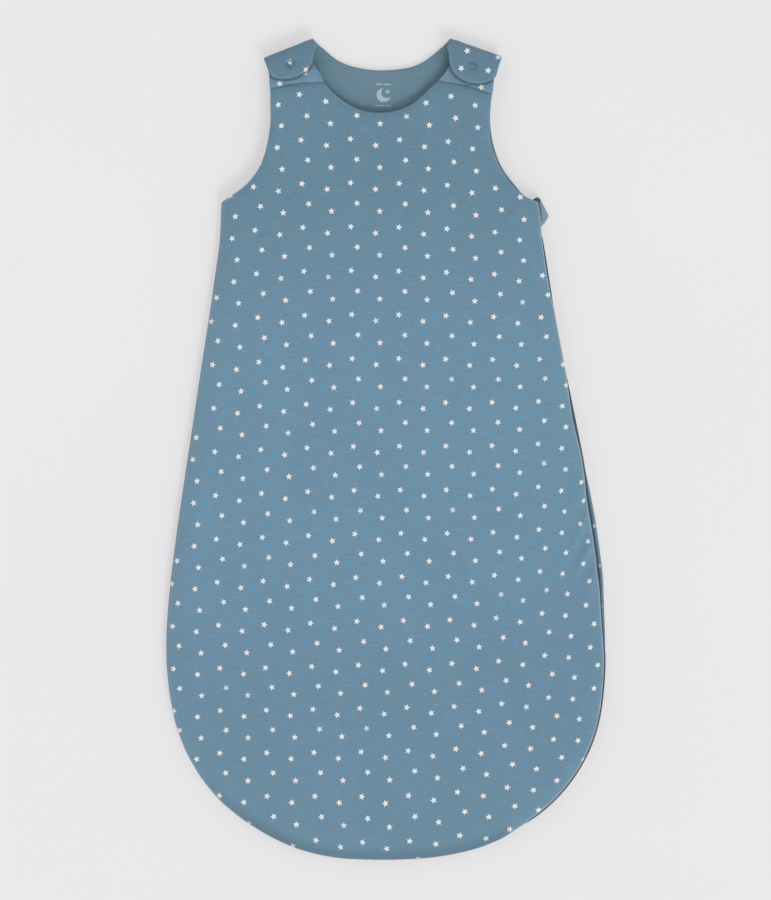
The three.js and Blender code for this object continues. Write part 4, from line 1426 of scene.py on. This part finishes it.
def make_strip(shoulder):
    """Back strap, bend and tab: one padded strip, printed outside and lined inside."""
    side = shoulder.side
    rows, tab_length = strip_rows(shoulder)
    columns = 30
    share = (1 - np.cos(np.linspace(0, math.pi, columns + 1))) / 2
    grid = rows[:, None, 0] + (rows[:, None, 1] - rows[:, None, 0]) * share[None, :, None]
    u, s = grid[..., 0], grid[..., 1]
    edge = np.vstack([rows[:, 0], rows[-1:, 1], rows[::-1, 1]])
    distance = nearest_on(grid.reshape(-1, 2), edge)[0].reshape(u.shape)
    upper, lower = (shoulder.surface(u, s, height) for height in strip_relief(shoulder, u, s, distance))
    past_bend = s - shoulder.arc
    sag = np.clip((past_bend - tab_length * 0.62) / (tab_length * 0.38), 0, 1) ** 2 * 0.8 * MM
    sag += TAB_LIP * roll_off(distance, 1.9 * MM) * smoothstep(past_bend, 1 * MM, 6 * MM)
    upper[..., 2] -= sag
    lower[..., 2] -= sag

    outer, inner, shared = strip_faces(*u.shape)
    vertices = np.vstack([upper.reshape(-1, 3), lower[~shared]])
    flat = np.vstack([grid.reshape(-1, 2), grid[~shared]])
    piece = new_object(f"shoulder_strap_{side}", vertices, outer + inner, flat)
    fix_normals(piece)
    # Painted light on the tab's sewn edge: a pale painted highlight just inside it, and dark painted shade
    # along the very edge.
    rim = 0.3 * bell(distance - 2.1 * MM, 0.8 * MM) - 0.9 * bell(distance, 0.8 * MM)
    rim *= smoothstep(past_bend, 0, 5 * MM)
    add_attribute(piece, "edge", np.concatenate([rim.ravel(), rim[~shared]]))
    piece.data.materials.append(strap_look(shoulder))
    piece.data.materials.append(LOOKS["lining"])
    lined = {tuple(sorted(face)) for face in inner}
    for polygon in piece.data.polygons:
        polygon.material_index = int(tuple(sorted(polygon.vertices)) in lined)
    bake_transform(piece)
    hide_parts(f"back_strap_{side}", f"shoulder_fold_{side}", f"shoulder_tab_{side}")


# Stars that show on the shoulders, in millimetres from above: on each tab with its bend, and on each strap.
TAB_STARS = {
    "left": [((-104.9, 422.8), 10), ((-87.2, 414.0), 30)],
    "right": [((88.6, 434.6), 20), ((122.4, 427.2), 5), ((82.2, 415.7), 40), ((111.6, 413.3), 60)],
}
STRAP_STARS = {"left": [((-116.1, 399.5), 25), ((-88.4, 411.3), 30)], "right": [((104.3, 395.5), 40)]}
BACK_STARS = [  # guessed ones on the back strap, placed on its flat cloth
    ((12 * MM, -6 * MM), 15), ((39 * MM, -11 * MM), 50), ((25 * MM, 9 * MM), 30), ((49 * MM, 17 * MM), 0),
]


def stars_on(rows, flat):
    """Those stars' places on the flat cloth, with their turns."""
    return [(tuple(float(c) for c in flat(x * MM, y * MM)), turn) for (x, y), turn in rows]


def strap_look(shoulder):
    stars = stars_on(TAB_STARS[shoulder.side], shoulder.flat) + BACK_STARS
    return jersey(f"strap jersey {shoulder.side}", TAB_BLUE_SHADED, stars, cell=FAR_APART, edged=True)


TUCK = 2.2 * MM  # how far the front strap runs on under the front
NECK_EDGE_SHIFT = {"left": -1.3 * MM, "right": 1.7 * MM}  # how far inside its outline its neck edge lies


def one_step(start, end):
    """The direction from one place to another."""
    return (end - start) / np.hypot(*(end - start))


def make_front_strap(shoulder, front):
    """The short strap above the front yoke seam, under the tab."""
    side = shoulder.side
    names = list(front.stretches)
    at = names.index(f"yoke_{side}")
    before, seam, after = (front.stretches[names[k]] for k in (at - 1, at, at + 1))
    loop = cap_outline(f"front_strap_{side}")
    chord = seam[[0, -1]]
    gap, along = nearest_on(loop, chord)
    share = (along / lengths_along(chord)[-1])[:, None]
    tuck = (1 - share) * one_step(before[-1], before[-2]) + share * one_step(after[0], after[1])
    loop = loop + np.where(gap[:, None] < 2 * MM, tuck * TUCK, 0)
    path = smooth_path(resample(np.vstack([loop, loop[:1]]), 1.6 * MM), 2)
    neck_corner = min(chord, key=lambda corner: abs(corner[0]))
    from_corner = np.hypot(*(path - neck_corner).T)
    shift = NECK_EDGE_SHIFT[side] * bell(from_corner - 9 * MM, 6 * MM)
    shift *= smoothstep(nearest_on(path, chord)[0], 2 * MM, 5 * MM)
    path = smooth_path(shifted(path, shift), 2)
    panel = Panel({"edge": path}, 2.2 * MM, (0.4, 1.0, 1.8, 2.8))
    p = panel.points
    to_seam, along_seam = nearest_on(p, seam)
    rim = panel.distance("edge")
    tucked = inside(p, front.loop)
    open_edge = np.where(tucked | (to_seam < rim), 9 * MM, rim)
    puff = 1 - roll_off(open_edge, 2.4 * MM)
    low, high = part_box(f"front_strap_{side}")
    middle_z = (low.z + high.z) / 2
    wave = 0.3 * MM * ripple(p, 0.012, 5.0) * smoothstep(rim, 0, 6 * MM)
    pucker = 0.3 * MM * np.array([noise.noise((s / 0.006, 1.0, 4.0)) for s in along_seam])
    pucker *= np.exp(-to_seam / (5 * MM))
    top = middle_z + puff * (1.45 * MM + wave) + pucker
    top += np.where(tucked, -0.9 * MM, 0.45 * MM * np.exp(-to_seam / (4 * MM)))
    bottom = middle_z - puff * 1.2 * MM
    strap = panel_pad(f"front_strap_{side}_padded", panel, top, bottom)
    tab = tab_outline(shoulder)
    to_tab = nearest_on(p, np.vstack([tab, tab[:1]]))[0]
    # Painted highlight along the yoke seam, and a painted shadow of the tab's edge along its outline.
    shade = 0.2 * np.exp(-to_seam / (1.5 * MM)) - 0.7 * bell(to_tab, 1.4 * MM)
    add_attribute(strap, "edge", np.concatenate([shade, shade]))
    stars = stars_on(STRAP_STARS[side], lambda x, y: print_uv(np.array([(x, y)]))[0])
    look = jersey(f"front strap jersey {side}", STRAP_BLUE_LIT, stars, cell=FAR_APART, edged=True)
    finish_piece(strap, look, "root", (f"front_strap_{side}",))


def height_at(places, panel, heights):
    """The surface's height at each place, from its three nearest mesh points."""
    result = []
    for place in places:
        gaps = np.hypot(*(panel.points - place).T)
        near = np.argsort(gaps)[:3]
        weights = 1 / (gaps[near] + 0.1 * MM)
        result.append((heights[near] * weights).sum() / weights.sum())
    return np.array(result)


def make_yoke_stitches(side, front, front_top):
    """Stitches along the front yoke seam, on the front's side of it."""
    seam = front.stretches[f"yoke_{side}"]
    path = resample(shifted(seam, 1.9 * MM), 1.0 * MM)
    heights = height_at(path, front, front_top) + 0.1 * MM
    row = stitch_row(f"yoke_stitches_{side}", path, heights)
    finish_piece(row, LOOKS["thread"], "root")


# Turned profiles: radius and height in millimetres. The socket's and the stud's have two parts: the first is
# measured from the piece's foot, the second from its top.
RING_PROFILE = [
    (3.65, 0.1), (3.8, 0), (4.5, 0), (4.75, 0.2), (4.7, 0.5), (4.45, 0.75), (4.1, 0.8), (3.75, 0.6),
]
SOCKET_PROFILE = [(2.5, 0.3), (2.9, 0), (4.2, 0), (4.6, 0.4)], [(4.6, -0.3), (4.3, 0), (3.0, 0), (2.5, -0.4)]
STUD_PROFILE = ([(0, 0), (4.4, 0), (4.6, 0.3), (4.3, 0.6), (2.1, 0.6), (1.55, 0.9), (1.5, 1.3), (1.75, 1.7)],
                [(1.5, -0.1), (0.9, 0), (0, 0)])
PRONG_COUNT, PRONG_LENGTH, PRONG_RADIUS = 5, 1.3 * MM, 0.45 * MM


def make_snaps(shoulder):
    """A ring snap: ring and socket on the tab, stud and its ring on the front strap."""
    side = shoulder.side
    boxes = {kind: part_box(f"snap_{kind}_{side}") for kind in ("ring", "socket", "stud", "stud_ring")}
    middle = [(boxes["ring"][0][k] + boxes["ring"][1][k]) / 2 for k in (0, 1)]

    def span(kind):
        return boxes[kind][0].z / MM, boxes[kind][1].z / MM

    def turned(kind, profile):
        foot, top = span(kind)
        return [(r, foot + z) for r, z in profile[0]] + [(r, top + z) for r, z in profile[1]]

    low, _ = span("ring")
    ring = lathe(f"snap_ring_{side}_cap", [(r, low + z) for r, z in RING_PROFILE], middle, 48)
    finish_piece(ring, LOOKS["lacquer"], shoulder.body, (f"snap_ring_{side}",))
    prongs = []
    for k in range(PRONG_COUNT):
        turn = FULL_TURN * (k + 0.3) / PRONG_COUNT
        direction = np.array([math.cos(turn), math.sin(turn), 0])
        place = np.array([*middle, (low + 0.35) * MM]) + direction * 3.25 * MM
        prongs.append(stitch_shape(place, direction, PRONG_LENGTH, PRONG_RADIUS))
    prongs = joined(f"snap_prongs_{side}", prongs)
    finish_piece(prongs, LOOKS["lacquer"], shoulder.body)
    socket = lathe(f"snap_socket_{side}_turned", turned("socket", SOCKET_PROFILE), middle)
    finish_piece(socket, LOOKS["snap"], shoulder.body, (f"snap_socket_{side}",))
    stud = lathe(f"snap_stud_{side}_turned", turned("stud", STUD_PROFILE), middle, closed=False)
    finish_piece(stud, LOOKS["snap"], "root", (f"snap_stud_{side}",))
    low, _ = span("stud_ring")
    under = lathe(f"snap_stud_ring_{side}_cap", [(r, low + 0.85 - z) for r, z in RING_PROFILE], middle)
    finish_piece(under, LOOKS["lacquer"], "root", (f"snap_stud_ring_{side}",))


# ---------------------------------------------------------------- everything
make_camera()
LOOKS = make_looks()
make_stage()
FRONT, FRONT_HEIGHTS = make_front()
make_back()
make_side_seam()
make_zip()
make_garage()
make_guard()
make_label()
for hand in ("left", "right"):
    shoulder = Shoulder(hand)
    make_strip(shoulder)
    make_front_strap(shoulder, FRONT)
    make_yoke_stitches(hand, FRONT, FRONT_HEIGHTS)
    make_snaps(shoulder)
